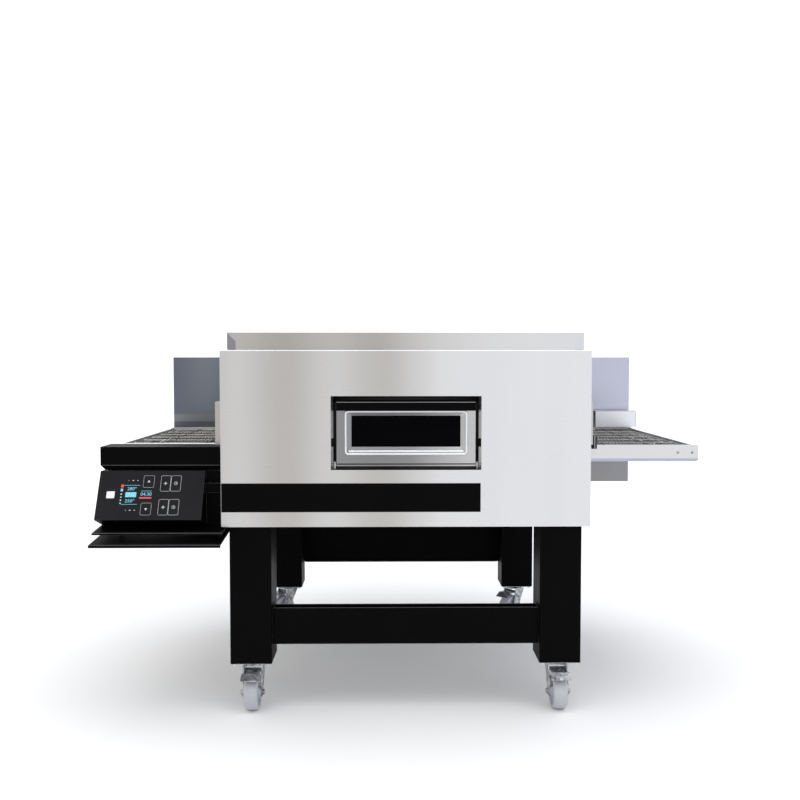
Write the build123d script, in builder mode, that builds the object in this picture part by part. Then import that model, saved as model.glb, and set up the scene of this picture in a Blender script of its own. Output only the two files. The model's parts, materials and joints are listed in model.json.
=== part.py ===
from build123d import *
import os
from math import atan2, cos, degrees, hypot, radians, sin

os.makedirs("parts", exist_ok=True)

# Conveyor pizza oven on a stand with four braked casters, in millimetres.
# The origin is on the floor, under the middle of the oven's overall length and depth.
# +X is to the right, +Y to the back and +Z up. Depths are measured from the outer face
# of the front panel towards the back.

# ---- overall ----
conveyor_half_length = 1077
air_guide_reach = 87
rear_reach = 1380
front_y = (air_guide_reach - rear_reach) / 2
fit_clearance = 0.05
body_gap = 0.5

# ---- oven body ----
body_half_width = 645
body_bottom = 677
body_top = 1292
body_depth = 1260
panel_sheet = 2.5
hem_depth = 15

# ---- collector frame on the top ----
collector_half_width = 627
collector_mitre = 31
collector_top = 1355
collector_front = 40
collector_back = 1220
collector_sheet = 3

# ---- window and door ----
window_half_width = 262
window_bottom = 876
window_top = 1133.5
flange_inset = 9
flange_depth = 16
notch_bottom = 957
notch_top = 986
door_half_width = 244
door_bottom = 886
door_top = 1085
door_face = 18
door_thickness = 26
recess_half_width = 215
recess_bottom = 926
recess_top = 1083
recess_depth = 16
glass_half_width = 191.5
glass_bottom = 954
glass_top = 1063.5
glass_sheet = 4
handle_top = 1113
handle_face = 11
hinge_depth = 26
hinge_z = 891
hinge_pin_radius = 5

# ---- conveyor ----
rail_front = 158
rail_back = 1030
rail_bottom = 887.5
rail_top = 948.4
rail_sheet = 3
belt_width = 810
belt_top = 944
belt_sheet = 1.2
belt_turn_radius = 20
shaft_x = 1041
shaft_radius = 8
belt_sprocket_radius = 17.5
belt_sprocket_teeth = 9
belt_middle = (rail_front + rail_back) / 2
shaft_z = belt_top - belt_turn_radius
support_count = 12

# ---- drive ----
cover_face = 53
cover_bottom = 870
cover_fold = 888
cover_top = 953
chain_depth = 128
chain_thickness = 4
driven_sprocket_radius = 21
driven_sprocket_teeth = 17
motor_sprocket_radius = 16
motor_sprocket_teeth = 13
motor_shaft_radius = 7
motor_x = -870

# ---- tunnel ----
left_hood_reach = 37
right_hood_reach = 29
hood_front = 100
hood_back = 1046
hood_bottom = 954
hood_top = 1109
shutter_bottom = 1005
shutter_front = 161
tunnel_front = 150
tunnel_back = 1038
tunnel_bottom = 870
tunnel_top = 1032

# ---- baking chamber ----
chamber_half_width = 602
chamber_front = 148
chamber_back = 1182
chamber_bottom = 788
chamber_top = 1192
chamber_sheet = 2
plenum_wall = 1041
fan_z = 990
fan_shaft_radius = 8
finger_count = 6
finger_pitch = 190

# ---- control box ----
control_right = -709.5
control_face_top = (55, 868)
control_face_bottom = (-24, 707.5)
control_face_sheet = 3
control_underside_depth = 58
casing_back = 150
casing_front = 72
casing_bottom = 676
button_x = -1031
button_from_top = 89
button_size = (28, 25)
button_proud = 3

# ---- stand and casters ----
leg_side = 148
leg_wall = 4
leg_x = 552
leg_front_depth = 124
leg_rear_depth = 1182
leg_bottom = 176
wheel_radius = 62.5
wheel_width = 50
caster_trail = 40
fork_inner = 31
fork_sheet = 5
axle_radius = 6
axle_half_length = 44
king_pin_radius = 6
pedal_pin_radius = 4
pedal_pin_place = (-22, 138)
rear_caster_turn = -45


def back(depth):
    """The y of a point this far behind the outer face of the front panel."""
    return front_y + depth


def front_facing(depth):
    """A plane parallel to the front panel and this far behind it, that looks to the front."""
    return Plane.XZ.offset(-back(depth))


def end_facing(x):
    """A plane across the oven at x, that looks to the right."""
    return Plane.YZ.offset(x)


def block(x_range, depth_range, z_range, mode=Mode.ADD):
    """A rectangular block in the open part, given by its limits in x, depth and z."""
    x_low, x_high = min(x_range), max(x_range)
    depth_low, depth_high = depth_range
    z_low, z_high = z_range
    middle = ((x_low + x_high) / 2, back((depth_low + depth_high) / 2), (z_low + z_high) / 2)
    with Locations(middle):
        Box(x_high - x_low, depth_high - depth_low, z_high - z_low, mode=mode)


def at_depths(points):
    """Turn (depth, z) pairs into the (y, z) pairs of an end-facing sketch."""
    return [(back(depth), z) for depth, z in points]


# =====================================================================
# Stand
# =====================================================================

leg_places = [
    (side * leg_x, back(depth))
    for depth in (leg_front_depth, leg_rear_depth)
    for side in (-1, 1)
]

with BuildPart() as legs:
    with BuildSketch(Plane.XY.offset(leg_bottom)):
        with Locations(*leg_places):
            RectangleRounded(leg_side, leg_side, 5)
            RectangleRounded(leg_side - 2 * leg_wall, leg_side - 2 * leg_wall, 2, mode=Mode.SUBTRACT)
    extrude(amount=body_bottom - leg_bottom)
    # the foot plate that the caster bolts to
    with BuildSketch(Plane.XY.offset(leg_bottom)):
        with Locations(*leg_places):
            RectangleRounded(leg_side - leg_wall, leg_side - leg_wall, 2)
    extrude(amount=6)
legs.part.label = "legs"
export_step(legs.part, "parts/legs.step")

# An upward-open channel between the front legs, with an end plate at each leg
stretcher_half = leg_x - leg_side / 2
stretcher_profile = [(70, 241), (120, 241), (120, 372), (117, 372), (117, 244), (73, 244), (73, 372), (70, 372)]
with BuildPart() as front_stretcher:
    with BuildSketch(end_facing(-stretcher_half)):
        with BuildLine():
            Polyline(at_depths(stretcher_profile), close=True)
        make_face()
    extrude(amount=2 * stretcher_half)
    for side in (-1, 1):
        block((side * (stretcher_half - 3), side * stretcher_half), (73, 117), (244, 372))
        block((side * (stretcher_half - 3), side * stretcher_half), (108, 120), (367, 381))
front_stretcher.part.label = "front_stretcher"
export_step(front_stretcher.part, "parts/front_stretcher.step")

with BuildPart() as side_beams:
    for side in (-1, 1):
        with BuildSketch(front_facing(leg_front_depth + leg_side / 2)):
            with Locations((side * leg_x, 647)):
                RectangleRounded(60, 60, 4)
                RectangleRounded(54, 54, 2, mode=Mode.SUBTRACT)
        extrude(amount=-(leg_rear_depth - leg_front_depth - leg_side))
side_beams.part.label = "side_beams"
export_step(side_beams.part, "parts/side_beams.step")

stand_panel_depth = leg_rear_depth + leg_side / 2
with BuildPart() as stand_rear_panel:
    block((-650, 650), (stand_panel_depth, stand_panel_depth + 2), (266, body_bottom))
    # the lower edge is folded forward between the legs
    block((-475, 475), (stand_panel_depth - 14, stand_panel_depth), (266, 268))
stand_rear_panel.part.label = "stand_rear_panel"
export_step(stand_rear_panel.part, "parts/stand_rear_panel.step")

# =====================================================================
# Casters
# =====================================================================

with BuildPart() as caster_plates:
    with BuildSketch(Plane.XY.offset(leg_bottom - 4)):
        with Locations(*leg_places):
            RectangleRounded(136, 110, 8)
    extrude(amount=4)
    # the pressed dish of the upper ball race
    with BuildSketch(Plane.XY.offset(leg_bottom - 4)):
        with Locations(*leg_places):
            Circle(45)
    extrude(amount=-10, taper=28)
    # the king pin and its nut
    with BuildSketch(Plane.XY.offset(leg_bottom - 14)):
        with Locations(*leg_places):
            Circle(king_pin_radius)
    extrude(amount=-10)
    with BuildSketch(Plane.XY.offset(leg_bottom - 24)):
        with Locations(*leg_places):
            RegularPolygon(9, 6)
    extrude(amount=-5)
    # four bolt heads under each plate
    for place in leg_places:
        with BuildSketch(Plane.XY.offset(leg_bottom - 4)):
            with Locations(place):
                with GridLocations(110, 84, 2, 2):
                    RegularPolygon(8, 6)
        extrude(amount=-6)
caster_plates.part.label = "caster_plates"
export_step(caster_plates.part, "parts/caster_plates.step")

fork_top = leg_bottom - 14.5
caster_names = ["front_left", "front_right", "rear_left", "rear_right"]
caster_turns = [0, 0, rear_caster_turn, rear_caster_turn]


def seat(frame, plane):
    """Carry a plane of the straight caster over to a caster's own frame."""
    return Plane(frame.location * plane.location)


for name, place, turn in zip(caster_names, leg_places, caster_turns):
    heading = (cos(radians(turn)), sin(radians(turn)), 0)
    frame = Plane(origin=(place[0], place[1], 0), x_dir=heading, z_dir=(0, 0, 1))
    across = seat(frame, Plane.YZ)
    axle_plane = seat(frame, Plane(origin=(0, -caster_trail, wheel_radius), x_dir=(1, 0, 0), z_dir=(0, -1, 0)))
    axle_line = Axis(axle_plane.origin, axle_plane.x_dir)

    with BuildPart() as caster_fork:
        # the crown of the fork turns on the king pin
        with BuildSketch(seat(frame, Plane.XY.offset(fork_top))):
            Circle(38)
        extrude(amount=-7)
        with BuildSketch(seat(frame, Plane.XY.offset(fork_top))):
            Circle(king_pin_radius + fit_clearance)
        extrude(amount=-7, mode=Mode.SUBTRACT)
        # two cheeks run down to the axle
        for side in (-1, 1):
            with BuildSketch(across.offset(side * fork_inner)):
                with Locations((-caster_trail, wheel_radius)):
                    Circle(17)
                with Locations((-2, fork_top - 3.5)):
                    Rectangle(62, 7)
                make_hull()
                with Locations(pedal_pin_place):
                    Circle(pedal_pin_radius + fit_clearance, mode=Mode.SUBTRACT)
                with Locations((-caster_trail, wheel_radius)):
                    Circle(axle_radius, mode=Mode.SUBTRACT)
            extrude(amount=side * fork_sheet)
        # the axle bolt, with its head on one cheek and its nut on the other
        with BuildSketch(across.offset(-axle_half_length)):
            with Locations((-caster_trail, wheel_radius)):
                Circle(axle_radius)
        extrude(amount=2 * axle_half_length)
        for side in (-1, 1):
            with BuildSketch(across.offset(side * (fork_inner + fork_sheet))):
                with Locations((-caster_trail, wheel_radius)):
                    RegularPolygon(10, 6)
            extrude(amount=side * 7)
    caster_fork.part.label = f"caster_fork_{name}"
    export_step(caster_fork.part, f"parts/caster_fork_{name}.step")

    # the wheel: a crowned tread, a recessed web and a hub that runs on the axle
    half = wheel_width / 2
    with BuildPart() as caster_wheel:
        with BuildSketch(axle_plane):
            with BuildLine():
                tread = ThreePointArc((-half + 5, wheel_radius - 2), (0, wheel_radius), (half - 5, wheel_radius - 2))
                Polyline(tread @ 1, (half, wheel_radius - 8), (half, 50), (half - 8, 46), (half - 8, 22),
                         (fork_inner - body_gap, 19), (fork_inner - body_gap, axle_radius + fit_clearance),
                         (-fork_inner + body_gap, axle_radius + fit_clearance), (-fork_inner + body_gap, 19),
                         (-half + 8, 22), (-half + 8, 46), (-half, 50), (-half, wheel_radius - 8), tread @ 0)
            make_face()
        revolve(axis=axle_line)
    caster_wheel.part.label = f"caster_wheel_{name}"
    export_step(caster_wheel.part, f"parts/caster_wheel_{name}.step")

    # the brake pedal: a bent strip over the front of the wheel, on a pin through the cheeks
    pin_y, pin_z = pedal_pin_place
    with BuildPart() as brake_pedal:
        with BuildSketch(across.offset(-fork_inner + 2)):
            with BuildLine():
                Polyline((pin_y + 8, pin_z + 3), (-74, pin_z + 3), (-100, 124), (-101.5, 121.5),
                         (-74.8, pin_z), (pin_y + 8, pin_z), close=True)
            make_face()
            with Locations(pedal_pin_place):
                Circle(7)
        extrude(amount=2 * (fork_inner - 2))
        with BuildSketch(across.offset(-fork_inner - 4)):
            with BuildLine():
                Polyline((-74, pin_z + 3), (-100, 124), (-101.5, 121.5), (-74.8, pin_z), close=True)
            make_face()
        extrude(amount=2 * (fork_inner + 4))
        with BuildSketch(across.offset(-fork_inner - fork_sheet)):
            with Locations(pedal_pin_place):
                Circle(pedal_pin_radius)
        extrude(amount=2 * (fork_inner + fork_sheet))
    brake_pedal.part.label = f"brake_pedal_{name}"
    export_step(brake_pedal.part, f"parts/brake_pedal_{name}.step")

# =====================================================================
# Oven body: outer panels
# =====================================================================

body_height = body_top - body_bottom
body_middle_z = (body_top + body_bottom) / 2
window_height = window_top - window_bottom
window_middle_z = (window_top + window_bottom) / 2

with BuildPart() as front_panel:
    with BuildSketch(front_facing(0)):
        with Locations((0, body_middle_z)):
            Rectangle(2 * body_half_width, body_height)
    extrude(amount=-hem_depth)
    block(
        (-body_half_width + panel_sheet, body_half_width - panel_sheet),
        (panel_sheet, hem_depth),
        (body_bottom + panel_sheet, body_top - panel_sheet),
        mode=Mode.SUBTRACT,
    )
    outer_corners = front_panel.edges().filter_by(Axis.Z).group_by(Axis.Y)[0]
    fillet(outer_corners, radius=2)
    with BuildSketch(front_facing(0)):
        with Locations((0, window_middle_z)):
            Rectangle(2 * window_half_width, window_height)
    extrude(amount=-panel_sheet, mode=Mode.SUBTRACT)
    # the slanted flanges at the sides of the window, each with a notch
    for side in (-1, 1):
        flange_foot = side * window_half_width
        flange_tip = side * (window_half_width - flange_inset)
        with BuildSketch(Plane.XY.offset(window_bottom)):
            with BuildLine():
                Polyline(
                    (flange_foot, back(0.5)),
                    (flange_tip, back(flange_depth)),
                    (flange_tip + side * 2.5, back(flange_depth)),
                    (flange_foot + side * 2.5, back(0.5)),
                    close=True,
                )
            make_face()
        extrude(amount=window_height)
        block((flange_tip - side, flange_foot + side * 4), (panel_sheet, flange_depth + 1),
              (notch_bottom, notch_top), mode=Mode.SUBTRACT)
front_panel.part.label = "front_panel"
export_step(front_panel.part, "parts/front_panel.step")

# a thin painted band across the lower part of the front panel
with BuildPart() as front_band:
    block((-body_half_width + 2, 260), (-0.8, 0), (729, 830))
front_band.part.label = "front_band"
export_step(front_band.part, "parts/front_band.step")

side_front = hem_depth + body_gap
side_back = body_depth - panel_sheet
for name, side in (("left_side_panel", -1), ("right_side_panel", 1)):
    with BuildPart() as side_panel:
        block((side * (body_half_width - panel_sheet), side * body_half_width), (side_front, side_back),
              (body_bottom + 3, body_top))
        block((side * (body_half_width - 16), side * body_half_width), (side_front, side_back),
              (body_top - panel_sheet, body_top))
        # the mouth of the tunnel
        block((side * (body_half_width - 20), side * (body_half_width + 5)), (tunnel_front, tunnel_back),
              (tunnel_bottom, tunnel_top + 60), mode=Mode.SUBTRACT)
    side_panel.part.label = name
    export_step(side_panel.part, f"parts/{name}.step")

top_half = body_half_width - 16.5
with BuildPart() as top_panel:
    block((-top_half, top_half), (side_front, side_back), (body_top - panel_sheet, body_top))
    block((-top_half, top_half), (side_front, side_front + 3), (body_top - 20, body_top))
    block((-top_half, top_half), (side_back - 3, side_back), (body_top - 20, body_top))
top_panel.part.label = "top_panel"
export_step(top_panel.part, "parts/top_panel.step")

gland_x = -480
gland_z = 740
with BuildPart() as rear_panel:
    block((-body_half_width, body_half_width), (side_back, body_depth), (body_bottom, body_top))
    with BuildSketch(front_facing(side_back)):
        with Locations((0, fan_z)):
            Circle(20)
        with Locations((gland_x, gland_z)):
            Circle(12.1)
    extrude(amount=-panel_sheet, mode=Mode.SUBTRACT)
rear_panel.part.label = "rear_panel"
export_step(rear_panel.part, "parts/rear_panel.step")

with BuildPart() as base_panel:
    block((-body_half_width, body_half_width), (side_front, side_back), (body_bottom, body_bottom + 3))
base_panel.part.label = "base_panel"
export_step(base_panel.part, "parts/base_panel.step")

# ---- the collector frame: front and rear strips with mitred corners, and side channels ----
collector_inner = collector_half_width - collector_mitre
with BuildPart() as vent_collector:
    for depth in (collector_front, collector_back - collector_sheet):
        with BuildSketch(front_facing(depth)):
            with BuildLine():
                Polyline(
                    (-collector_half_width, collector_top),
                    (collector_half_width, collector_top),
                    (collector_inner, collector_top - collector_mitre),
                    (collector_inner, body_top),
                    (-collector_inner, body_top),
                    (-collector_inner, collector_top - collector_mitre),
                    close=True,
                )
            make_face()
        extrude(amount=-collector_sheet)
    for side in (-1, 1):
        block((side * (collector_inner - 3), side * collector_inner),
              (collector_front + collector_sheet, collector_back - collector_sheet), (body_top, collector_top - 3))
        block((side * (collector_inner - 3), side * collector_half_width),
              (collector_front + collector_sheet, collector_back - collector_sheet),
              (collector_top - 3, collector_top))
        block((side * (collector_half_width - 2), side * collector_half_width),
              (collector_front + 6, collector_back - 6), (body_top + 2, collector_top - 3))
        block((side * collector_inner, side * (collector_half_width - 2)),
              (collector_front + 6, collector_front + 8), (body_top + 2, collector_top - 3))
vent_collector.part.label = "vent_collector"
export_step(vent_collector.part, "parts/vent_collector.step")

# =====================================================================
# Tunnel hoods and shutters
# =====================================================================

with BuildPart() as tunnel_hoods:
    for side, reach in ((-1, left_hood_reach), (1, right_hood_reach)):
        hood_span = (side * body_half_width, side * (body_half_width + reach))
        block(hood_span, (hood_front, hood_back), (hood_bottom, hood_top))
        block(hood_span, (hood_front + 2, hood_back - 2), (hood_bottom, hood_top - 2), mode=Mode.SUBTRACT)
tunnel_hoods.part.label = "tunnel_hoods"
export_step(tunnel_hoods.part, "parts/tunnel_hoods.step")

for name, side in (("left_tunnel_shutter", -1), ("right_tunnel_shutter", 1)):
    with BuildPart() as shutter:
        block((side * 664, side * 666), (shutter_front, hood_back - 3), (shutter_bottom, hood_top - 4))
        block((side * 660, side * 666), (shutter_front, hood_back - 3), (shutter_bottom, shutter_bottom + 2))
        for depth in (330, 816):
            with BuildSketch(end_facing(side * 666)):
                with Locations((back(depth), 1060)):
                    Circle(11)
            extrude(amount=side * 12)
    shutter.part.label = name
    export_step(shutter.part, f"parts/{name}.step")

# =====================================================================
# Baking chamber and what it holds
# =====================================================================

tunnel_sheet = 2
neck_half_width = 197
neck_bottom = 950
neck_top = 1068
neck_front = door_face + door_thickness + 2
with BuildPart() as oven_chamber:
    block((-chamber_half_width, chamber_half_width), (chamber_front, chamber_back), (chamber_bottom, chamber_top))
    inner = chamber_half_width - chamber_sheet
    for depth_range in ((chamber_front + chamber_sheet, plenum_wall - 1),
                        (plenum_wall + 1, chamber_back - chamber_sheet)):
        block((-inner, inner), depth_range, (chamber_bottom + chamber_sheet, chamber_top - chamber_sheet),
              mode=Mode.SUBTRACT)
    # a collar joins each tunnel mouth to the chamber
    collar_end = body_half_width - panel_sheet - body_gap
    for side in (-1, 1):
        block((side * inner, side * collar_end), (tunnel_front, tunnel_back), (tunnel_bottom, tunnel_top))
        block((side * (inner - 5), side * collar_end), (tunnel_front + tunnel_sheet, tunnel_back - tunnel_sheet),
              (tunnel_bottom + tunnel_sheet, tunnel_top - tunnel_sheet), mode=Mode.SUBTRACT)
    # the neck leads from the door to the chamber, with a flange behind the door
    block((-neck_half_width, neck_half_width), (neck_front, chamber_front), (neck_bottom, neck_top))
    block((-window_half_width - 6, window_half_width + 6), (neck_front, neck_front + 2),
          (window_bottom - 8, window_top + 8))
    block((-neck_half_width + 2, neck_half_width - 2), (neck_front - 1, chamber_front + 5),
          (neck_bottom + 2, neck_top - 2), mode=Mode.SUBTRACT)
    # the fan draws through a round inlet, and its shaft leaves at the back
    with BuildSketch(front_facing(plenum_wall - 1)):
        with Locations((0, fan_z)):
            Circle(95)
    extrude(amount=-2, mode=Mode.SUBTRACT)
    with BuildSketch(front_facing(chamber_back - chamber_sheet)):
        with Locations((0, fan_z)):
            Circle(fan_shaft_radius + 2)
    extrude(amount=-chamber_sheet, mode=Mode.SUBTRACT)
oven_chamber.part.label = "oven_chamber"
export_step(oven_chamber.part, "parts/oven_chamber.step")

wool_gap = 1
with BuildPart() as chamber_insulation:
    block((-body_half_width + 8, body_half_width - 8), (60, side_back - 4), (body_bottom + 8, body_top - 24))
    block((-chamber_half_width - wool_gap, chamber_half_width + wool_gap),
          (chamber_front - wool_gap, chamber_back + wool_gap),
          (chamber_bottom - wool_gap, chamber_top + wool_gap), mode=Mode.SUBTRACT)
    block((-body_half_width, body_half_width), (tunnel_front - wool_gap, tunnel_back + wool_gap),
          (tunnel_bottom - wool_gap, tunnel_top + wool_gap), mode=Mode.SUBTRACT)
    block((-neck_half_width - wool_gap, neck_half_width + wool_gap), (neck_front, chamber_front),
          (neck_bottom - wool_gap, neck_top + wool_gap), mode=Mode.SUBTRACT)
    with BuildSketch(front_facing(chamber_back - 20)):
        with Locations((0, fan_z)):
            Circle(fan_shaft_radius + 4)
    extrude(amount=-200, mode=Mode.SUBTRACT)
chamber_insulation.part.label = "chamber_insulation"
export_step(chamber_insulation.part, "parts/chamber_insulation.step")

# Sheet jet boxes over and under the belt, deep at the plenum and shallow at the front
finger_sheet = 1.5
finger_places = [(index - (finger_count - 1) / 2) * finger_pitch for index in range(finger_count)]
with BuildPart() as air_fingers:
    for x in finger_places:
        for profile in (
            [(170, 1012), (plenum_wall - 1, 1012), (plenum_wall - 1, 1090), (170, 1050)],
            [(170, 868), (plenum_wall - 1, 868), (plenum_wall - 1, 796), (170, 830)],
        ):
            for inset, mode in ((0, Mode.ADD), (finger_sheet, Mode.SUBTRACT)):
                with BuildSketch(end_facing(x - 60 + inset)):
                    with BuildLine():
                        Polyline(at_depths(profile), close=True)
                    make_face()
                    if inset:
                        offset(amount=-inset, kind=Kind.INTERSECTION, mode=Mode.REPLACE)
                extrude(amount=120 - 2 * inset, mode=mode)
air_fingers.part.label = "air_fingers"
export_step(air_fingers.part, "parts/air_fingers.step")

element_z = 1130
element_radius = 4
with BuildPart() as heating_elements:
    for x in finger_places:
        start = Plane(origin=(x - 35, back(plenum_wall - 1), element_z), x_dir=(1, 0, 0), z_dir=(0, -1, 0))
        with BuildLine() as element_path:
            FilletPolyline(
                (x - 35, back(plenum_wall - 1), element_z),
                (x - 35, back(230), element_z),
                (x + 35, back(230), element_z),
                (x + 35, back(plenum_wall - 1), element_z),
                radius=30,
            )
        with BuildSketch(start):
            Circle(element_radius)
        sweep(path=element_path.line)
heating_elements.part.label = "heating_elements"
export_step(heating_elements.part, "parts/heating_elements.step")

# ---- circulation fan ----
blade_count = 12
with BuildPart() as fan_rotor:
    with BuildSketch(front_facing(1118)):
        with Locations((0, fan_z)):
            Circle(112)
    extrude(amount=-3)
    with BuildSketch(front_facing(1064)):
        with Locations((0, fan_z)):
            Circle(112)
            Circle(88, mode=Mode.SUBTRACT)
    extrude(amount=-3)
    with BuildSketch(front_facing(1066)):
        with Locations((0, fan_z)):
            with PolarLocations(92, blade_count):
                Rectangle(34, 3, rotation=28)
    extrude(amount=-53)
    with BuildSketch(front_facing(1090)):
        with Locations((0, fan_z)):
            Circle(18)
    extrude(amount=-30)
    with BuildSketch(front_facing(1088)):
        with Locations((0, fan_z)):
            Circle(fan_shaft_radius)
    extrude(amount=-(1292 - 1088))
fan_rotor.part.label = "fan_rotor"
export_step(fan_rotor.part, "parts/fan_rotor.step")

with BuildPart() as fan_motor:
    with BuildSketch(front_facing(body_depth)):
        with Locations((0, fan_z)):
            RectangleRounded(180, 180, 12)
    extrude(amount=-5)
    with BuildSketch(front_facing(body_depth + 5)):
        with Locations((0, fan_z)):
            Circle(64)
    extrude(amount=-90)
    motor_end = fan_motor.faces().sort_by(Axis.Y)[-1]
    fillet(motor_end.edges(), radius=8)
    # cooling fins along the body of the motor
    with BuildSketch(front_facing(body_depth + 12)):
        with Locations((0, fan_z)):
            with PolarLocations(66, 20):
                Rectangle(10, 3)
    extrude(amount=-66)
    with BuildSketch(front_facing(body_depth)):
        with Locations((0, fan_z)):
            Circle(fan_shaft_radius + fit_clearance)
    extrude(amount=-34, mode=Mode.SUBTRACT)
fan_motor.part.label = "fan_motor"
export_step(fan_motor.part, "parts/fan_motor.step")

cover_half_width = 330
cover_low = 820
cover_high = 1160
with BuildPart() as motor_cover:
    block((-cover_half_width, cover_half_width), (body_depth, rear_reach), (cover_low, cover_high))
    fillet(motor_cover.edges().group_by(Axis.Y)[-1], radius=4)
    block((-cover_half_width + 2, cover_half_width - 2), (body_depth, rear_reach - 2),
          (cover_low + 2, cover_high - 2), mode=Mode.SUBTRACT)
    # ventilation slots in the back wall
    with BuildSketch(front_facing(rear_reach)):
        with Locations((-170, fan_z), (170, fan_z)):
            with GridLocations(0, 22, 1, 9):
                SlotOverall(180, 7)
    extrude(amount=4, mode=Mode.SUBTRACT)
motor_cover.part.label = "motor_cover"
export_step(motor_cover.part, "parts/motor_cover.step")

with BuildPart() as cable_gland:
    with BuildSketch(front_facing(side_back - 4)):
        with Locations((gland_x, gland_z)):
            Circle(12)
    extrude(amount=-(panel_sheet + 4))
    with BuildSketch(front_facing(body_depth)):
        with Locations((gland_x, gland_z)):
            RegularPolygon(18, 6)
    extrude(amount=-8)
    with BuildSketch(front_facing(body_depth + 8)):
        with Locations((gland_x, gland_z)):
            Circle(15)
    extrude(amount=-20, taper=6)
    with BuildSketch(front_facing(side_back - 4)):
        with Locations((gland_x, gland_z)):
            Circle(9)
    extrude(amount=-60, mode=Mode.SUBTRACT)
cable_gland.part.label = "cable_gland"
export_step(cable_gland.part, "parts/cable_gland.step")

# =====================================================================
# Window door
# =====================================================================

with BuildPart() as door_frame:
    with BuildSketch(front_facing(door_face)):
        with Locations((0, (door_bottom + door_top) / 2)):
            Rectangle(2 * door_half_width, door_top - door_bottom)
    extrude(amount=-door_thickness)
    front_edges = door_frame.edges().group_by(Axis.Y)[0]
    fillet(front_edges.sort_by(Axis.Z)[0:3], radius=2)
    # the pressed recess narrows from its mouth to the glass
    with BuildSketch(front_facing(door_face)):
        with Locations((0, (recess_bottom + recess_top) / 2)):
            RectangleRounded(2 * recess_half_width, recess_top - recess_bottom, 9)
    with BuildSketch(front_facing(door_face + recess_depth)):
        with Locations((0, (glass_bottom + glass_top) / 2)):
            RectangleRounded(2 * glass_half_width, glass_top - glass_bottom, 3)
    loft(mode=Mode.SUBTRACT)
    with BuildSketch(front_facing(door_face + recess_depth)):
        with Locations((0, (glass_bottom + glass_top) / 2)):
            RectangleRounded(2 * glass_half_width, glass_top - glass_bottom, 3)
    extrude(amount=-glass_sheet, mode=Mode.SUBTRACT)
    with BuildSketch(front_facing(door_face + recess_depth)):
        with Locations((0, (glass_bottom + glass_top) / 2)):
            Rectangle(2 * glass_half_width - 16, glass_top - glass_bottom - 16)
    extrude(amount=-door_thickness, mode=Mode.SUBTRACT)
    # stub pins at the lower corners turn in the hinge brackets
    for side in (-1, 1):
        with BuildSketch(end_facing(side * (door_half_width - 4))):
            with Locations((back(hinge_depth), hinge_z)):
                Circle(hinge_pin_radius)
        extrude(amount=side * 12)
door_frame.part.label = "door_frame"
export_step(door_frame.part, "parts/door_frame.step")

with BuildPart() as door_glass:
    with BuildSketch(front_facing(door_face + recess_depth)):
        with Locations((0, (glass_bottom + glass_top) / 2)):
            RectangleRounded(2 * glass_half_width - 0.6, glass_top - glass_bottom - 0.6, 3)
    extrude(amount=-glass_sheet)
door_glass.part.label = "door_glass"
export_step(door_glass.part, "parts/door_glass.step")

# The handle is a channel along the top edge, open upwards for the fingers
handle_profile = [
    (handle_face, door_top - 3), (handle_face, handle_top), (handle_face + 4, handle_top),
    (handle_face + 4, door_top + 5), (38, door_top + 5), (38, door_top + 16), (42, door_top + 16),
    (42, door_top), (door_face - 0.2, door_top), (door_face - 0.2, door_top - 3),
]
with BuildPart() as door_handle:
    with BuildSketch(end_facing(-door_half_width)):
        with BuildLine():
            Polyline(at_depths(handle_profile), close=True)
        make_face()
    extrude(amount=2 * door_half_width)
door_handle.part.label = "door_handle"
export_step(door_handle.part, "parts/door_handle.step")

with BuildPart() as door_hinge_brackets:
    for side in (-1, 1):
        block((side * 246, side * 251), (5.5, 44), (850, 872))
        block((side * 246, side * 251), (17, 36), (850, 903))
        block((side * 246, side * 282), (panel_sheet, 5.5), (850, 872))
        with BuildSketch(end_facing(side * 245)):
            with Locations((back(hinge_depth), hinge_z)):
                Circle(hinge_pin_radius + fit_clearance)
        extrude(amount=side * 8, mode=Mode.SUBTRACT)
door_hinge_brackets.part.label = "door_hinge_brackets"
export_step(door_hinge_brackets.part, "parts/door_hinge_brackets.step")

# =====================================================================
# Conveyor
# =====================================================================

rail_height = rail_top - rail_bottom
for name, face, inward in (("front_rail", rail_front, 1), ("rear_rail", rail_back, -1)):
    with BuildPart() as rail:
        with BuildSketch(front_facing(face)):
            with Locations((0, (rail_top + rail_bottom) / 2)):
                RectangleRounded(2 * conveyor_half_length, rail_height, 11)
        extrude(amount=-inward * rail_sheet)
        if name == "front_rail":
            # the drive shaft runs out to the chain through the front rail
            with BuildSketch(front_facing(face)):
                with Locations((-shaft_x, shaft_z)):
                    Circle(shaft_radius + 1)
            extrude(amount=-rail_sheet, mode=Mode.SUBTRACT)
        # the lower flange carries the crumb trays
        flange = sorted((face + inward, face + inward * 20))
        block((-conveyor_half_length + 14, conveyor_half_length - 14), flange, (rail_bottom, rail_bottom + 3))
    rail.part.label = name
    export_step(rail.part, f"parts/{name}.step")

inner_front = rail_front + rail_sheet
inner_back = rail_back - rail_sheet
with BuildPart() as belt_supports:
    for index in range(support_count):
        x = -935 + index * 1870 / (support_count - 1)
        with BuildSketch(front_facing(inner_front)):
            with Locations((x, 937.5)):
                Circle(4)
        extrude(amount=-(inner_back - inner_front))
    for side in (-1, 1):
        # the end cross member, with a turned-in upper edge
        block((side * 1069, side * 1071), (inner_front, inner_back), (908, 942))
        block((side * 1063.5, side * 1071), (inner_front, inner_back), (942, 944))
        # the bearer under both rails in the tunnel mouth
        block((side * 610, side * 634), (rail_front, rail_back), (tunnel_bottom + tunnel_sheet, rail_bottom))
belt_supports.part.label = "belt_supports"
export_step(belt_supports.part, "parts/belt_supports.step")

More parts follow.
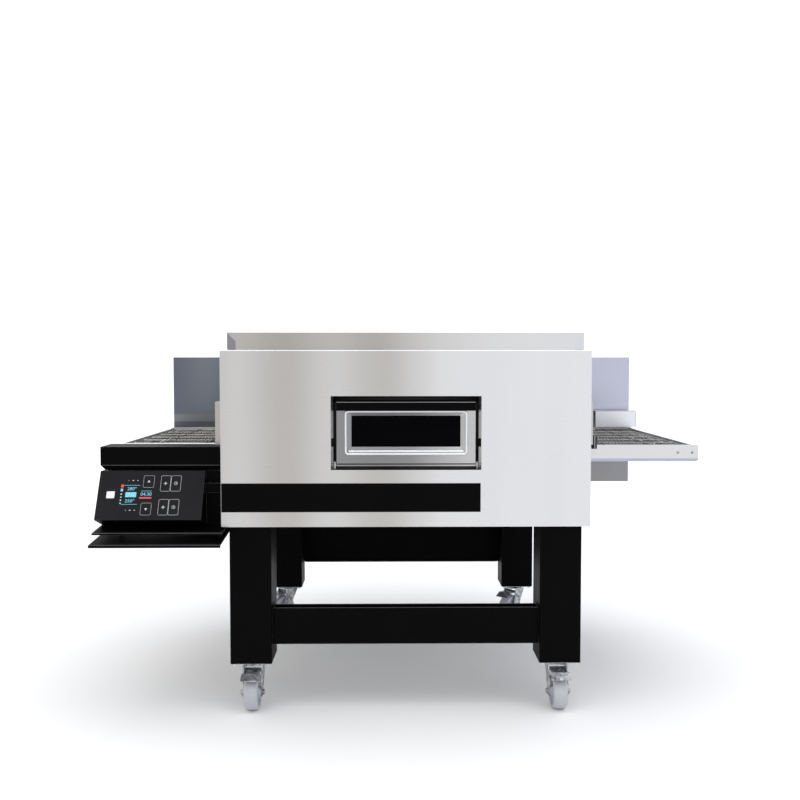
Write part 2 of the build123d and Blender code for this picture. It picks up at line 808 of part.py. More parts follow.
with BuildPart() as wire_belt:
    with BuildSketch(front_facing(belt_middle - belt_width / 2)):
        with Locations((0, shaft_z)):
            SlotCenterToCenter(2 * shaft_x, 2 * belt_turn_radius)
            SlotCenterToCenter(2 * shaft_x, 2 * (belt_turn_radius - belt_sheet), mode=Mode.SUBTRACT)
    extrude(amount=-belt_width)
wire_belt.part.label = "wire_belt"
export_step(wire_belt.part, "parts/wire_belt.step")


def sprocket_outline(radius, teeth):
    """A disc with rounded gullets around its rim, in the sketch that is open."""
    Circle(radius)
    with PolarLocations(radius + 0.6, teeth):
        Circle(2 * radius / teeth, mode=Mode.SUBTRACT)


sprocket_depths = [215 + index * (973 - 215) / 5 for index in range(6)]
with BuildPart() as drive_shaft:
    with BuildSketch(front_facing(116)):
        with Locations((-shaft_x, shaft_z)):
            Circle(shaft_radius)
    extrude(amount=-(inner_back - 0.5 - 116))
    for depth in sprocket_depths:
        with BuildSketch(front_facing(depth - 4)):
            with Locations((-shaft_x, shaft_z)):
                sprocket_outline(belt_sprocket_radius, belt_sprocket_teeth)
        extrude(amount=-8)
    with BuildSketch(front_facing(chain_depth - 3)):
        with Locations((-shaft_x, shaft_z)):
            sprocket_outline(driven_sprocket_radius, driven_sprocket_teeth)
    extrude(amount=-6)
drive_shaft.part.label = "drive_shaft"
export_step(drive_shaft.part, "parts/drive_shaft.step")

with BuildPart() as idler_shaft:
    with BuildSketch(front_facing(inner_front + 1)):
        with Locations((shaft_x, shaft_z)):
            Circle(shaft_radius)
    extrude(amount=-(inner_back - inner_front - 2))
    for depth in sprocket_depths:
        with BuildSketch(front_facing(depth - 4)):
            with Locations((shaft_x, shaft_z)):
                sprocket_outline(belt_sprocket_radius, belt_sprocket_teeth)
        extrude(amount=-8)
idler_shaft.part.label = "idler_shaft"
export_step(idler_shaft.part, "parts/idler_shaft.step")

with BuildPart() as shaft_bushes:
    for x in (-shaft_x, shaft_x):
        for depth, length in ((inner_front, 12), (inner_back - 12, 12)):
            with BuildSketch(front_facing(depth)):
                with Locations((x, shaft_z)):
                    Circle(14)
                    Circle(shaft_radius + fit_clearance, mode=Mode.SUBTRACT)
            extrude(amount=-length)
shaft_bushes.part.label = "shaft_bushes"
export_step(shaft_bushes.part, "parts/shaft_bushes.step")

with BuildPart() as gearmotor:
    block((motor_x - 32, motor_x + 32), (64, 116), (shaft_z - 30, shaft_z + 26))
    fillet(gearmotor.edges().filter_by(Axis.Y), radius=5)
    with BuildSketch(end_facing(motor_x + 32)):
        with Locations((back(90), shaft_z)):
            Circle(25)
    extrude(amount=120)
    fillet(gearmotor.faces().sort_by(Axis.X)[-1].edges(), radius=5)
    # the foot reaches back to the rail
    block((motor_x + 60, motor_x + 120), (86, rail_front), (shaft_z - 30, shaft_z - 24))
    block((motor_x + 32, motor_x + 120), (80, 100), (shaft_z - 30, shaft_z - 20))
    with BuildSketch(front_facing(116)):
        with Locations((motor_x, shaft_z)):
            Circle(motor_shaft_radius + fit_clearance)
    extrude(amount=30, mode=Mode.SUBTRACT)
gearmotor.part.label = "gearmotor"
export_step(gearmotor.part, "parts/gearmotor.step")

with BuildPart() as motor_sprocket:
    with BuildSketch(front_facing(chain_depth + 6)):
        with Locations((motor_x, shaft_z)):
            Circle(motor_shaft_radius)
    extrude(amount=chain_depth + 6 - 88)
    with BuildSketch(front_facing(chain_depth - 3)):
        with Locations((motor_x, shaft_z)):
            sprocket_outline(motor_sprocket_radius, motor_sprocket_teeth)
    extrude(amount=-6)
motor_sprocket.part.label = "motor_sprocket"
export_step(motor_sprocket.part, "parts/motor_sprocket.step")

with BuildPart() as drive_chain:
    with BuildSketch(front_facing(chain_depth - 4)):
        for growth, mode in ((0.6 + chain_thickness, Mode.ADD), (0.6, Mode.SUBTRACT)):
            with BuildSketch(mode=mode):
                with Locations((-shaft_x, shaft_z)):
                    Circle(driven_sprocket_radius + growth)
                with Locations((motor_x, shaft_z)):
                    Circle(motor_sprocket_radius + growth)
                make_hull()
    extrude(amount=-8)
drive_chain.part.label = "drive_chain"
export_step(drive_chain.part, "parts/drive_chain.step")

# The drive cover: a folded box that is open to the rail, with a chamfered lower lip
lip_setback = 13
cover_back = rail_front - body_gap
with BuildPart() as drive_cover:
    with BuildSketch(end_facing(-conveyor_half_length)):
        with BuildLine():
            Polyline(
                at_depths([(cover_back, cover_top), (cover_face, cover_top), (cover_face, cover_fold),
                           (cover_face + lip_setback, cover_bottom), (cover_back, cover_bottom)]),
                close=True,
            )
        make_face()
    extrude(amount=conveyor_half_length - body_half_width - body_gap)
    with BuildSketch(front_facing(cover_back)):
        with BuildLine():
            Polyline(
                (-conveyor_half_length, cover_fold),
                (-conveyor_half_length, cover_bottom),
                (-conveyor_half_length + lip_setback, cover_bottom),
                close=True,
            )
        make_face()
    extrude(amount=cover_back - cover_face, mode=Mode.SUBTRACT)
    cavity_right = -body_half_width - body_gap - 2
    block((-conveyor_half_length + 2, cavity_right), (cover_face + 2, cover_back + 1),
          (cover_fold, cover_top - 2), mode=Mode.SUBTRACT)
    block((-conveyor_half_length + lip_setback + 3, cavity_right), (cover_face + lip_setback + 3, cover_back + 1),
          (cover_bottom + 2, cover_fold), mode=Mode.SUBTRACT)
drive_cover.part.label = "drive_cover"
export_step(drive_cover.part, "parts/drive_cover.step")

tray_inner_end = 690
tray_outer_end = 1061
tray_base = rail_bottom + 3 + body_gap
for name, side in (("left_crumb_tray", -1), ("right_crumb_tray", 1)):
    with BuildPart() as crumb_tray:
        block((side * tray_inner_end, side * tray_outer_end), (inner_front + 1, inner_back - 1),
              (tray_base, tray_base + 11))
        block((side * (tray_inner_end + 1.5), side * (tray_outer_end - 1.5)), (inner_front + 2.5, inner_back - 2.5),
              (tray_base + 1.5, tray_base + 12), mode=Mode.SUBTRACT)
        # the pull lip at the outer end
        block((side * (tray_outer_end - 1.5), side * (tray_outer_end + 10)), (belt_middle - 90, belt_middle + 90),
              (tray_base + 9.5, tray_base + 11))
    crumb_tray.part.label = name
    export_step(crumb_tray.part, f"parts/{name}.step")

# Conveyor brackets: a clip at the right tunnel mouth, and the guard box at the rear right corner
guard_left = 891
guard_front = 972
guard_back = 1022
guard_bottom = 953
guard_top = 1027
with BuildPart() as conveyor_brackets:
    block((body_half_width, 700), (152, 157.5), (937, 984))
    block((690, 700), (146, 152), (937, 984))
    block((guard_left, conveyor_half_length), (guard_front, guard_back), (guard_bottom, guard_top))
    block((guard_left - 1, conveyor_half_length - 2), (guard_front + 2, guard_back - 2),
          (guard_bottom - 1, guard_top - 2), mode=Mode.SUBTRACT)
    block((1035, 1060), (guard_back - 4, rail_back), (rail_top, guard_bottom + 12))
conveyor_brackets.part.label = "conveyor_brackets"
export_step(conveyor_brackets.part, "parts/conveyor_brackets.step")

wing_depth = 1050
with BuildPart() as backsplash_wings:
    for side in (-1, 1):
        block((side * body_half_width, side * 1065), (wing_depth, wing_depth + 2), (691, 1274))
        block((side * body_half_width, side * (body_half_width + 2)), (wing_depth + 2, wing_depth + 26), (691, 1274))
        block((side * 1063, side * 1065), (wing_depth + 2, wing_depth + 14), (691, 1274))
backsplash_wings.part.label = "backsplash_wings"
export_step(backsplash_wings.part, "parts/backsplash_wings.step")

# =====================================================================
# Control box and air guides
# =====================================================================

face_run = control_face_bottom[0] - control_face_top[0]
face_drop = control_face_bottom[1] - control_face_top[1]
face_length = hypot(face_run, face_drop)
face_normal = (0, face_drop / face_length, -face_run / face_length)


def on_face(from_top, height):
    """The (depth, z) of a point down the control face from its top edge, and above its surface."""
    share = from_top / face_length
    depth = control_face_top[0] + share * face_run + height * face_normal[1]
    z = control_face_top[1] + share * face_drop + height * face_normal[2]
    return depth, z


def face_plane(x, from_top, height):
    """A plane that lies along the control face and looks out of it."""
    depth, z = on_face(from_top, height)
    return Plane(origin=(x, back(depth), z), x_dir=(1, 0, 0), z_dir=face_normal)


control_width = conveyor_half_length + control_right
control_middle_x = control_right - control_width / 2
casing_wall = 2
with BuildPart() as control_box:
    wedge = [on_face(0, -control_face_sheet), on_face(face_length, -control_face_sheet),
             (control_underside_depth, casing_bottom), (casing_back, casing_bottom),
             (casing_back, on_face(0, -control_face_sheet)[1])]
    casing_top = wedge[0][1]
    for growth, mode, x_start, length in (
        (0, Mode.ADD, -conveyor_half_length, control_width),
        (-casing_wall, Mode.SUBTRACT, -conveyor_half_length + casing_wall, control_width - 2 * casing_wall),
    ):
        with BuildSketch(end_facing(x_start)):
            with BuildLine():
                Polyline(at_depths(wedge), close=True)
            make_face()
            if growth:
                offset(amount=growth, kind=Kind.INTERSECTION, mode=Mode.REPLACE)
        extrude(amount=length, mode=mode)
    # the set-back part of the casing reaches to the side of the oven
    block((control_right, -body_half_width), (casing_front, casing_back), (casing_bottom, casing_top))
    block((control_right, -body_half_width - casing_wall), (casing_front + casing_wall, casing_back - casing_wall),
          (casing_bottom + casing_wall, casing_top - casing_wall), mode=Mode.SUBTRACT)
    block((control_right, -body_half_width), (casing_front - 22, casing_front), (791, 824))
    with BuildSketch(face_plane(button_x, button_from_top, -control_face_sheet)):
        Rectangle(button_size[0] + 4, button_size[1] + 4)
    extrude(amount=-5, mode=Mode.SUBTRACT)
control_box.part.label = "control_box"
export_step(control_box.part, "parts/control_box.step")

with BuildPart() as control_face:
    with BuildSketch(face_plane(control_middle_x, face_length / 2, -control_face_sheet)):
        RectangleRounded(control_width, face_length, 2)
    extrude(amount=control_face_sheet)
    with BuildSketch(face_plane(button_x, button_from_top, -control_face_sheet)):
        RectangleRounded(button_size[0] + 1, button_size[1] + 1, 3)
    extrude(amount=control_face_sheet, mode=Mode.SUBTRACT)
control_face.part.label = "control_face"
export_step(control_face.part, "parts/control_face.step")

with BuildPart() as power_button:
    with BuildSketch(face_plane(button_x, button_from_top, button_proud)):
        RectangleRounded(*button_size, 3)
    extrude(amount=-16)
    fillet(power_button.faces().sort_by(Axis.Y)[0].edges(), radius=0.8)
power_button.part.label = "power_button"
export_step(power_button.part, "parts/power_button.step")

# Two flared trays under the control box, each with a turned front edge
guide_right = -631
upper_guide = [(-51, 660), (-51, 666), (56, 675.5), (casing_back, 675.5), (casing_back, 673.5), (56, 673.5),
               (-48, 664), (-48, 660)]
lower_guide = [(-air_guide_reach, 623), (-air_guide_reach, 632), (casing_back, 653), (casing_back, 651),
               (-air_guide_reach + 3, 630), (-air_guide_reach + 3, 623)]
with BuildPart() as air_guides:
    for profile in (upper_guide, lower_guide):
        with BuildSketch(end_facing(-conveyor_half_length)):
            with BuildLine():
                Polyline(at_depths(profile), close=True)
            make_face()
        extrude(amount=guide_right + conveyor_half_length)
    for x in (-1030, -690):
        block((x, x + 3), (100, 140), (651, 674))
air_guides.part.label = "air_guides"
export_step(air_guides.part, "parts/air_guides.step")

# =====================================================================
# Visible fasteners
# =====================================================================

with BuildPart() as fasteners:
    # rail screws at the shaft bushes
    for face, toward in ((rail_front, 1), (rail_back, -1)):
        with BuildSketch(front_facing(face)):
            with Locations((-1061, 924), (-1003, 924), (1001.5, 919.5), (1054, 919.5)):
                Circle(5)
        extrude(amount=toward * 2.2)
    # bolts between the body and the stand
    with BuildSketch(Plane.XY.offset(body_bottom)):
        with Locations(*[(x, back(37)) for x in (-610, -495, 495, 610)]):
            RegularPolygon(9, 6)
    extrude(amount=-7)
    # screws around the rear panel
    with BuildSketch(front_facing(body_depth)):
        with Locations((0, body_middle_z)):
            with GridLocations(415, 585, 4, 2):
                Circle(6)
    extrude(amount=-3)
fasteners.part.label = "fasteners"
export_step(fasteners.part, "parts/fasteners.step")

print("face tilt", round(degrees(atan2(-face_run, -face_drop)), 2), "degrees from vertical")
print("control face normal", [round(value, 5) for value in face_normal])
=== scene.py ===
"""A conveyor pizza oven on its castered stand: finishes, belt, chain, prints, screws, trim and studio."""
import json
import math

import bmesh
import bpy
from bpy.props import FloatProperty, FloatVectorProperty, IntProperty, PointerProperty
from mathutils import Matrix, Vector


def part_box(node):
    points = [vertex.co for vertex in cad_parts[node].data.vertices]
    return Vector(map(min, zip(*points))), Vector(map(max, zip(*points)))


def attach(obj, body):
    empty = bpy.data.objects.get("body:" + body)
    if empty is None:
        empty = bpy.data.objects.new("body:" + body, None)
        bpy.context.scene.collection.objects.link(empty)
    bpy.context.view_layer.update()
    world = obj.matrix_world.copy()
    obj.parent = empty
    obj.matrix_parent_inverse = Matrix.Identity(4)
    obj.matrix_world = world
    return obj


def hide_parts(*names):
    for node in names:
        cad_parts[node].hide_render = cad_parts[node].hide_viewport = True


bl_info = {
    "name": "Conveyor Pizza Oven",
    "version": (1, 0, 0),
    "blender": (4, 5, 0),
    "location": "View3D > Sidebar > Oven",
    "description": "Finishes, wire belt, chain, control prints, screws, trim and studio for a conveyor pizza oven",
    "category": "Add Mesh",
}

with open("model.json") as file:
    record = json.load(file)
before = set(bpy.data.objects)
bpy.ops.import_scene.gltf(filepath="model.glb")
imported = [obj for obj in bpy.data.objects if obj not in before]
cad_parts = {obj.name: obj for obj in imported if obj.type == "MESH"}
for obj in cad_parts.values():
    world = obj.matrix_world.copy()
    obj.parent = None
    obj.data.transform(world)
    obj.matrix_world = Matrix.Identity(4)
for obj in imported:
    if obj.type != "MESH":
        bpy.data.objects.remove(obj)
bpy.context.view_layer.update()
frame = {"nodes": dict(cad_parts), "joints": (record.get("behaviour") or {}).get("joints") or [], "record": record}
nodes = frame["nodes"]

MM = 0.001
# brushed lines per metre on sheet and on bare metal, the depth of sheet grain, and grains per metre of powder coat
SHEET_LINES, METAL_LINES, SHEET_GRAIN, POWDER_GRAINS = 1900.0, 900.0, 0.02, 420.0


def swatch(name, description, default):
    """A colour property of the add-on."""
    return FloatVectorProperty(name=name, description=description, default=default, size=3, subtype="COLOR",
                               min=0.0, max=1.0)


def size(name, description, default):
    """A length property of the add-on."""
    return FloatProperty(name=name, description=description, default=default, min=0.0, unit="LENGTH", precision=4)


def place_of(joint_name):
    """Where a joint of the frame has its axis."""
    for joint in frame["joints"]:
        if joint["name"] == joint_name:
            return Vector(joint["pos_m"])
    raise ValueError(f"the frame has no joint {joint_name}")


# Node trees

class Graph:
    """Adds nodes to one tree and joins their sockets."""

    def __init__(self, tree):
        self.tree = tree

    def feed(self, socket, value):
        """Join a socket to an output, or give it a plain value."""
        if isinstance(value, bpy.types.NodeSocket):
            self.tree.links.new(value, socket)
        else:
            socket.default_value = value

    def add(self, kind, inputs=None, **settings):
        """Add a node of one kind. inputs is keyed by the name or the number of the socket."""
        node = self.tree.nodes.new(kind)
        for name, value in settings.items():
            setattr(node, name, value)
        for key, value in (inputs or {}).items():
            self.feed(node.inputs[key], value)
        return node

    def out(self, kind, inputs=None, **settings):
        """Add a node and give its first output."""
        return self.add(kind, inputs, **settings).outputs[0]

    def place(self):
        """The object coordinates of the surface."""
        return self.add("ShaderNodeTexCoord").outputs["Object"]

    def parts(self, vector):
        """The X, Y and Z of a vector."""
        return self.add("ShaderNodeSeparateXYZ", {0: vector}).outputs

    def moved(self, geometry, **change):
        """Geometry after one Transform Geometry node."""
        return self.out("GeometryNodeTransform", {"Geometry": geometry, **change})

    def placed(self, points, item, turn):
        """An item set on each point."""
        return self.out("GeometryNodeInstanceOnPoints", {"Points": points, "Instance": item, "Rotation": turn})

    def plus(self, first, second):
        """The sum of two values."""
        return self.math("ADD", first, second)

    def minus(self, first, second):
        """The difference of two values."""
        return self.math("SUBTRACT", first, second)

    def times(self, first, second):
        """The product of two values."""
        return self.math("MULTIPLY", first, second)

    def over(self, first, second):
        """One value divided by another."""
        return self.math("DIVIDE", first, second)

    def math(self, operation, *values):
        """One Math node."""
        return self.out("ShaderNodeMath", dict(enumerate(values)), operation=operation)

    def vector_math(self, operation, *values):
        """One Vector Math node that puts out a vector."""
        return self.out("ShaderNodeVectorMath", dict(enumerate(values)), operation=operation)

    def xyz(self, x=0.0, y=0.0, z=0.0):
        """A vector from three values."""
        return self.out("ShaderNodeCombineXYZ", {0: x, 1: y, 2: z})

    def ramp(self, value, from_low, from_high, to_low=0.0, to_high=1.0):
        """A value carried from one range to another, held at its ends."""
        return self.out("ShaderNodeMapRange", {0: value, 1: from_low, 2: from_high, 3: to_low, 4: to_high})

    def mix(self, factor, first, second):
        """A colour between two colours."""
        return self.add("ShaderNodeMix", {0: factor, 6: first, 7: second}, data_type="RGBA").outputs[2]

    def noise(self, vector, scale, detail=2.0, roughness=0.5):
        """The value of a noise texture."""
        return self.out("ShaderNodeTexNoise", {"Vector": vector, "Scale": scale, "Detail": detail,
                                               "Roughness": roughness})


def open_group(name, kind, inputs, outputs):
    """A new node group with its sockets. Returns it with its graph and the sockets of its two ends."""
    tree = bpy.data.node_groups.new(name, kind)
    for socket_name, socket_type, default in inputs:
        socket = tree.interface.new_socket(socket_name, in_out="INPUT", socket_type="NodeSocket" + socket_type)
        if default is not None:
            socket.default_value = default
    for socket_name, socket_type in outputs:
        tree.interface.new_socket(socket_name, in_out="OUTPUT", socket_type="NodeSocket" + socket_type)
    graph = Graph(tree)
    return tree, graph, graph.add("NodeGroupInput").outputs, graph.add("NodeGroupOutput").inputs


# Effects that several finishes share

def sheet_grain_group():
    """Brushed lines along each sheet, with painted reflection bands across it and a slow random change of tone from
    coil to coil.
    """
    tree, graph, given, result = open_group(
        "Sheet grain", "ShaderNodeTree",
        [("Lines Per Metre", "Float", 650.0), ("Line Stretch", "Float", 3.0),
         ("Band Width", "Float", 0.333)],
        [("Height", "Float"), ("Tone", "Float"), ("Smudge", "Float")])
    coordinates = graph.add("ShaderNodeTexCoord")
    facing = graph.parts(coordinates.outputs["Normal"])
    sideways = graph.math("GREATER_THAN", graph.math("ABSOLUTE", facing["X"]), 0.7)
    fine = given["Lines Per Metre"]
    stretch = given["Line Stretch"]
    along_x = graph.xyz(stretch, fine, fine)
    along_y = graph.xyz(fine, stretch, fine)
    scale = graph.add("ShaderNodeMix", {0: sideways, 4: along_x, 5: along_y}, data_type="VECTOR").outputs[1]
    lines = graph.noise(graph.vector_math("MULTIPLY", coordinates.outputs["Object"], scale), 1.0, 2.0, 0.6)
    place = graph.parts(coordinates.outputs["Object"])
    # painted reflection: bands repeating along X, and lighter from about x -0.2 m rightwards; the drift is random coil
    # tone
    run = graph.plus(place["X"], graph.times(place["Y"], 0.3))
    turns = graph.over(graph.plus(run, 0.449), given["Band Width"])
    sheen_wave = graph.math("COSINE", graph.times(turns, math.tau))
    clear = graph.ramp(run, -0.235, -0.075)
    swing = graph.plus(graph.times(sheen_wave, 0.28), 0.28)
    sheen_bands = graph.math("MAXIMUM", swing, graph.times(clear, 0.9))
    drift = graph.noise(graph.vector_math("MULTIPLY", coordinates.outputs["Object"], (7.0, 1.5, 0.5)), 1.0, 1.0)
    tone = graph.plus(sheen_bands, graph.times(graph.minus(drift, 0.5), 0.3))
    smudge = graph.noise(graph.vector_math("MULTIPLY", coordinates.outputs["Object"], (2.5, 4.0, 4.0)), 1.0, 2.0)
    graph.feed(result["Height"], lines)
    graph.feed(result["Tone"], graph.ramp(tone, 0.0, 1.0))
    graph.feed(result["Smudge"], graph.ramp(smudge, 0.38, 0.72))
    return tree


def edge_sheen_and_rub_group():
    """Rounds the light on sharp edges and gives a mask along them, broken into patches, where finishes paint an edge
    highlight with some rubbing.
    """
    tree, graph, given, result = open_group(
        "Edge rub", "ShaderNodeTree",
        [("Break Up", "Float", 0.5)],
        [("Normal", "Vector"), ("Mask", "Float")])
    rounded = graph.out("ShaderNodeBevel", {0: 1.3 * MM}, samples=4)
    geometry = graph.add("ShaderNodeNewGeometry")
    likeness = graph.add("ShaderNodeVectorMath", {0: rounded, 1: geometry.outputs["Normal"]},
                         operation="DOT_PRODUCT").outputs["Value"]
    edge = graph.ramp(likeness, 0.995, 0.86)
    patches = graph.noise(graph.place(), 60.0, 3.0)
    kept = graph.minus(1.0, graph.times(given["Break Up"], patches))
    graph.feed(result["Normal"], rounded)
    graph.feed(result["Mask"], graph.times(edge, kept))
    return tree


def powder_group():
    """The fine orange peel of a baked powder coat, with dust that lies unevenly."""
    tree, graph, given, result = open_group(
        "Powder peel", "ShaderNodeTree", [("Grains Per Metre", "Float", POWDER_GRAINS)],
        [("Height", "Float"), ("Dust", "Float")])
    place = graph.place()
    peel = graph.noise(place, given["Grains Per Metre"], 2.0, 0.6)
    dust = graph.noise(place, 6.0, 5.0, 0.65)
    graph.feed(result["Height"], peel)
    graph.feed(result["Dust"], graph.ramp(dust, 0.42, 0.75))
    return tree


def heat_group():
    """Straw, brown and blue tints that heat leaves on bare steel."""
    tree, graph, given, result = open_group(
        "Heat tint", "ShaderNodeTree",
        [("Clean", "Color", (0.5, 0.5, 0.5, 1.0)), ("Heated", "Color", (0.3, 0.25, 0.2, 1.0)),
         ("Patch Size", "Float", 5.0)],
        [("Color", "Color"), ("Mask", "Float")])
    place = graph.place()
    mask = graph.ramp(graph.noise(place, given["Patch Size"], 4.0, 0.6), 0.35, 0.68)
    graph.feed(result["Color"], graph.mix(mask, given["Clean"], given["Heated"]))
    graph.feed(result["Mask"], mask)
    return tree


# Finishes

effects = {}
finishes = {}


def colour(rgb, gain=1.0):
    """A colour with its alpha, made lighter or darker."""
    return (rgb[0] * gain, rgb[1] * gain, rgb[2] * gain, 1.0)


def new_finish(name, **plain):
    """A material whose plain numbers go on its shader's own sockets. Returns its graph and those sockets."""
    material = bpy.data.materials.new(name)
    material.use_nodes = True
    shader = material.node_tree.nodes["Principled BSDF"]
    for socket, value in plain.items():
        shader.inputs[socket.replace("_", " ")].default_value = value
    finishes[name] = material
    return Graph(material.node_tree), shader.inputs


def place_effect(graph, name, **values):
    """A shared effect with this finish's own values."""
    return graph.add("ShaderNodeGroup", {key.replace("_", " "): value for key, value in values.items()},
                     node_tree=effects[name]).outputs


def bump(graph, shader, height, strength, distance, normal=None):
    """Raise the surface of a finish by a height."""
    node = graph.add("ShaderNodeBump", {"Strength": strength, "Distance": distance, "Height": height})
    if normal is not None:
        graph.feed(node.inputs["Normal"], normal)
    graph.feed(shader["Normal"], node.outputs[0])


def sheet_steel(name, shade_band, clear, roughness, painted_light_zones=()):
    """Brushed stainless sheet between a shade band and a clear band, mixed by painted reflection bands and random tone.
    Zones paint light and shade: a zone is a colour and the ramps (axis, start, end) that bound it.
    """
    graph, shader = new_finish(name, Metallic=1.0)
    sheet = place_effect(graph, "grain", Lines_Per_Metre=SHEET_LINES, Line_Stretch=6.0)
    edge = place_effect(graph, "edge", Break_Up=0.4)
    # the base follows the painted reflection bands of the sheet grain, with random coil tone
    base = graph.mix(sheet["Tone"], colour(shade_band), colour(clear))
    if painted_light_zones:
        place = graph.parts(graph.place())
    # each zone lays a patch of painted light and shade over the base
    for zone_tint, *bounds in painted_light_zones:
        inside = 1.0
        for axis, start, end in bounds:
            inside = graph.times(inside, graph.ramp(place[axis], start, end))
        shaded = graph.mix(sheet["Smudge"], colour(zone_tint), colour(zone_tint, 0.94))
        base = graph.mix(inside, base, shaded)
    # edges lighter: painted edge highlight, with some rubbing
    highlight_and_wear = graph.mix(graph.times(edge["Mask"], 0.35), base, colour(clear, 1.25))
    graph.feed(shader["Base Color"], highlight_and_wear)
    spread = graph.plus(graph.times(sheet["Smudge"], 0.03),
                        graph.ramp(sheet["Height"], 0.3, 0.7, roughness - 0.01, roughness + 0.01))
    graph.feed(shader["Roughness"], spread)
    bump(graph, shader, sheet["Height"], SHEET_GRAIN, 0.1 * MM, edge["Normal"])


def powder_paint(name, tint, roughness, specular, rub):
    """Black powder coat, painted lighter along its edges as an edge highlight with some rubbing."""
    graph, shader = new_finish(name, Metallic=0.0, Specular_IOR_Level=specular)
    powder = place_effect(graph, "powder", Grains_Per_Metre=POWDER_GRAINS)
    edge = place_effect(graph, "edge", Break_Up=0.6)
    dusty = graph.mix(graph.times(powder["Dust"], 0.5), colour(tint), colour(tint, 1.7))
    # the dust is random; the lighter grey along the edges is a painted edge highlight with some rubbing
    graph.feed(shader["Base Color"],
               graph.mix(graph.times(edge["Mask"], rub), dusty, colour((0.3, 0.3, 0.31))))
    graph.feed(shader["Roughness"],
               graph.ramp(powder["Dust"], 0.0, 1.0, roughness, roughness + 0.12))
    bump(graph, shader, powder["Height"], 0.18, 0.15 * MM, edge["Normal"])


def bare_metal(name, clean, heated, roughness, patch):
    """Plain or heat-tinted metal of the works: wire, shafts, plated and cast pieces."""
    graph, shader = new_finish(name, Metallic=1.0)
    tint = place_effect(graph, "heat", Clean=colour(clean), Heated=colour(heated), Patch_Size=patch)
    edge = place_effect(graph, "edge", Break_Up=0.3)
    # edges lighter: painted edge highlight with some rubbing
    graph.feed(shader["Base Color"],
               graph.mix(graph.times(edge["Mask"], 0.4), tint["Color"],
                         colour(clean, 1.3)))
    graph.feed(shader["Roughness"],
               graph.ramp(tint["Mask"], 0.0, 1.0, roughness, roughness + 0.14))
    sheet = place_effect(graph, "grain", Lines_Per_Metre=METAL_LINES, Line_Stretch=60.0)
    bump(graph, shader, sheet["Height"], 0.2, 0.08 * MM, edge["Normal"])


def belt_metal(name, bright, dark, first, spacing, reach):
    """Belt wire, painted bright at its rows of hooks as a highlight and dark between them as shade."""
    graph, shader = new_finish(name, Metallic=1.0)
    place = graph.place()
    rows = graph.over(graph.minus(graph.parts(place)["Y"],
                                           first), spacing)
    offset = graph.math("ABSOLUTE", graph.minus(graph.math("FRACT", graph.plus(rows, 0.5)), 0.5))
    # bright at the hook rows as painted highlight, dark between them as painted shade
    highlight_and_wear = graph.ramp(graph.times(offset, spacing), reach + 2.5 * MM, reach - 1.0 * MM)
    uneven = graph.ramp(graph.noise(place, 55.0, 3.0), 0.3, 0.7)
    tint = graph.mix(highlight_and_wear, colour(dark), colour(bright))
    graph.feed(shader["Base Color"], graph.mix(uneven, tint, graph.mix(0.4, tint, colour(dark))))
    graph.feed(shader["Roughness"], graph.ramp(uneven, 0.0, 1.0, 0.24, 0.4))


def moulded_plastic(name, tint, roughness, specular=0.5, grains=900.0):
    """Moulded nylon and other plastics, with a fine tool texture and handling marks."""
    graph, shader = new_finish(name, Metallic=0.0, Specular_IOR_Level=specular)
    powder = place_effect(graph, "powder", Grains_Per_Metre=grains)
    edge = place_effect(graph, "edge", Break_Up=0.2)
    marked = graph.mix(powder["Dust"], colour(tint), colour(tint, 0.86))
    # edges lighter: painted edge highlight with some rubbing
    graph.feed(shader["Base Color"],
               graph.mix(graph.times(edge["Mask"], 0.3), marked, colour(tint, 1.15)))
    graph.feed(shader["Roughness"], graph.ramp(powder["Dust"], 0.0, 1.0, roughness, roughness + 0.1))
    bump(graph, shader, powder["Height"], 0.12, 0.06 * MM, edge["Normal"])


def tinted_glass(name, tint):
    """Black oven glass with faint wiping marks."""
    graph, shader = new_finish(name, Metallic=0.0, IOR=1.5, Transmission_Weight=0.0, Specular_IOR_Level=0.015)
    place = graph.place()
    wipes = graph.noise(graph.vector_math("MULTIPLY", place, (4.0, 4.0, 26.0)), 1.0, 4.0, 0.7)
    graph.feed(shader["Roughness"], graph.ramp(wipes, 0.35, 0.75, 0.035, 0.12))
    graph.feed(shader["Base Color"], graph.mix(graph.ramp(wipes, 0.4, 0.8), colour(tint), colour(tint, 1.8)))


def wool(name, tint):
    """Pressed mineral wool."""
    graph, shader = new_finish(name, Metallic=0.0, Sheen_Weight=0.3)
    place = graph.place()
    fibre = graph.noise(graph.vector_math("MULTIPLY", place, (90.0, 260.0, 260.0)), 1.0, 4.0, 0.7)
    graph.feed(shader["Base Color"], graph.mix(graph.ramp(fibre, 0.3, 0.7), colour(tint, 0.7), colour(tint, 1.1)))
    graph.feed(shader["Roughness"], graph.ramp(fibre, 0.0, 1.0, 0.85, 1.0))
    bump(graph, shader, fibre, 0.8, 2.0 * MM)


def print_ink(name, tint, glow):
    """Ink or a lit window on the control film, unevenly bright like real back lighting; a glow given to plain ink is
    painted light.
    """
    graph, shader = new_finish(name, Metallic=0.0, Emission_Strength=glow)
    place = graph.place()
    uneven = graph.ramp(graph.noise(place, 140.0, 2.0), 0.3, 0.7)
    tone = graph.mix(uneven, colour(tint, 0.82), colour(tint))
    graph.feed(shader["Base Color"], tone)
    graph.feed(shader["Emission Color"], tone)
    graph.feed(shader["Roughness"], graph.ramp(uneven, 0.0, 1.0, 0.45, 0.6))


def floor_paint(name, tint):
    """The matt sweep of the studio."""
    graph, shader = new_finish(name, Metallic=0.0, Specular_IOR_Level=0.0, Roughness=1.0)
    place = graph.place()
    graph.feed(shader["Base Color"],
               graph.mix(graph.noise(place, 3.0, 3.0), colour(tint, 0.99), colour(tint)))


# Pieces

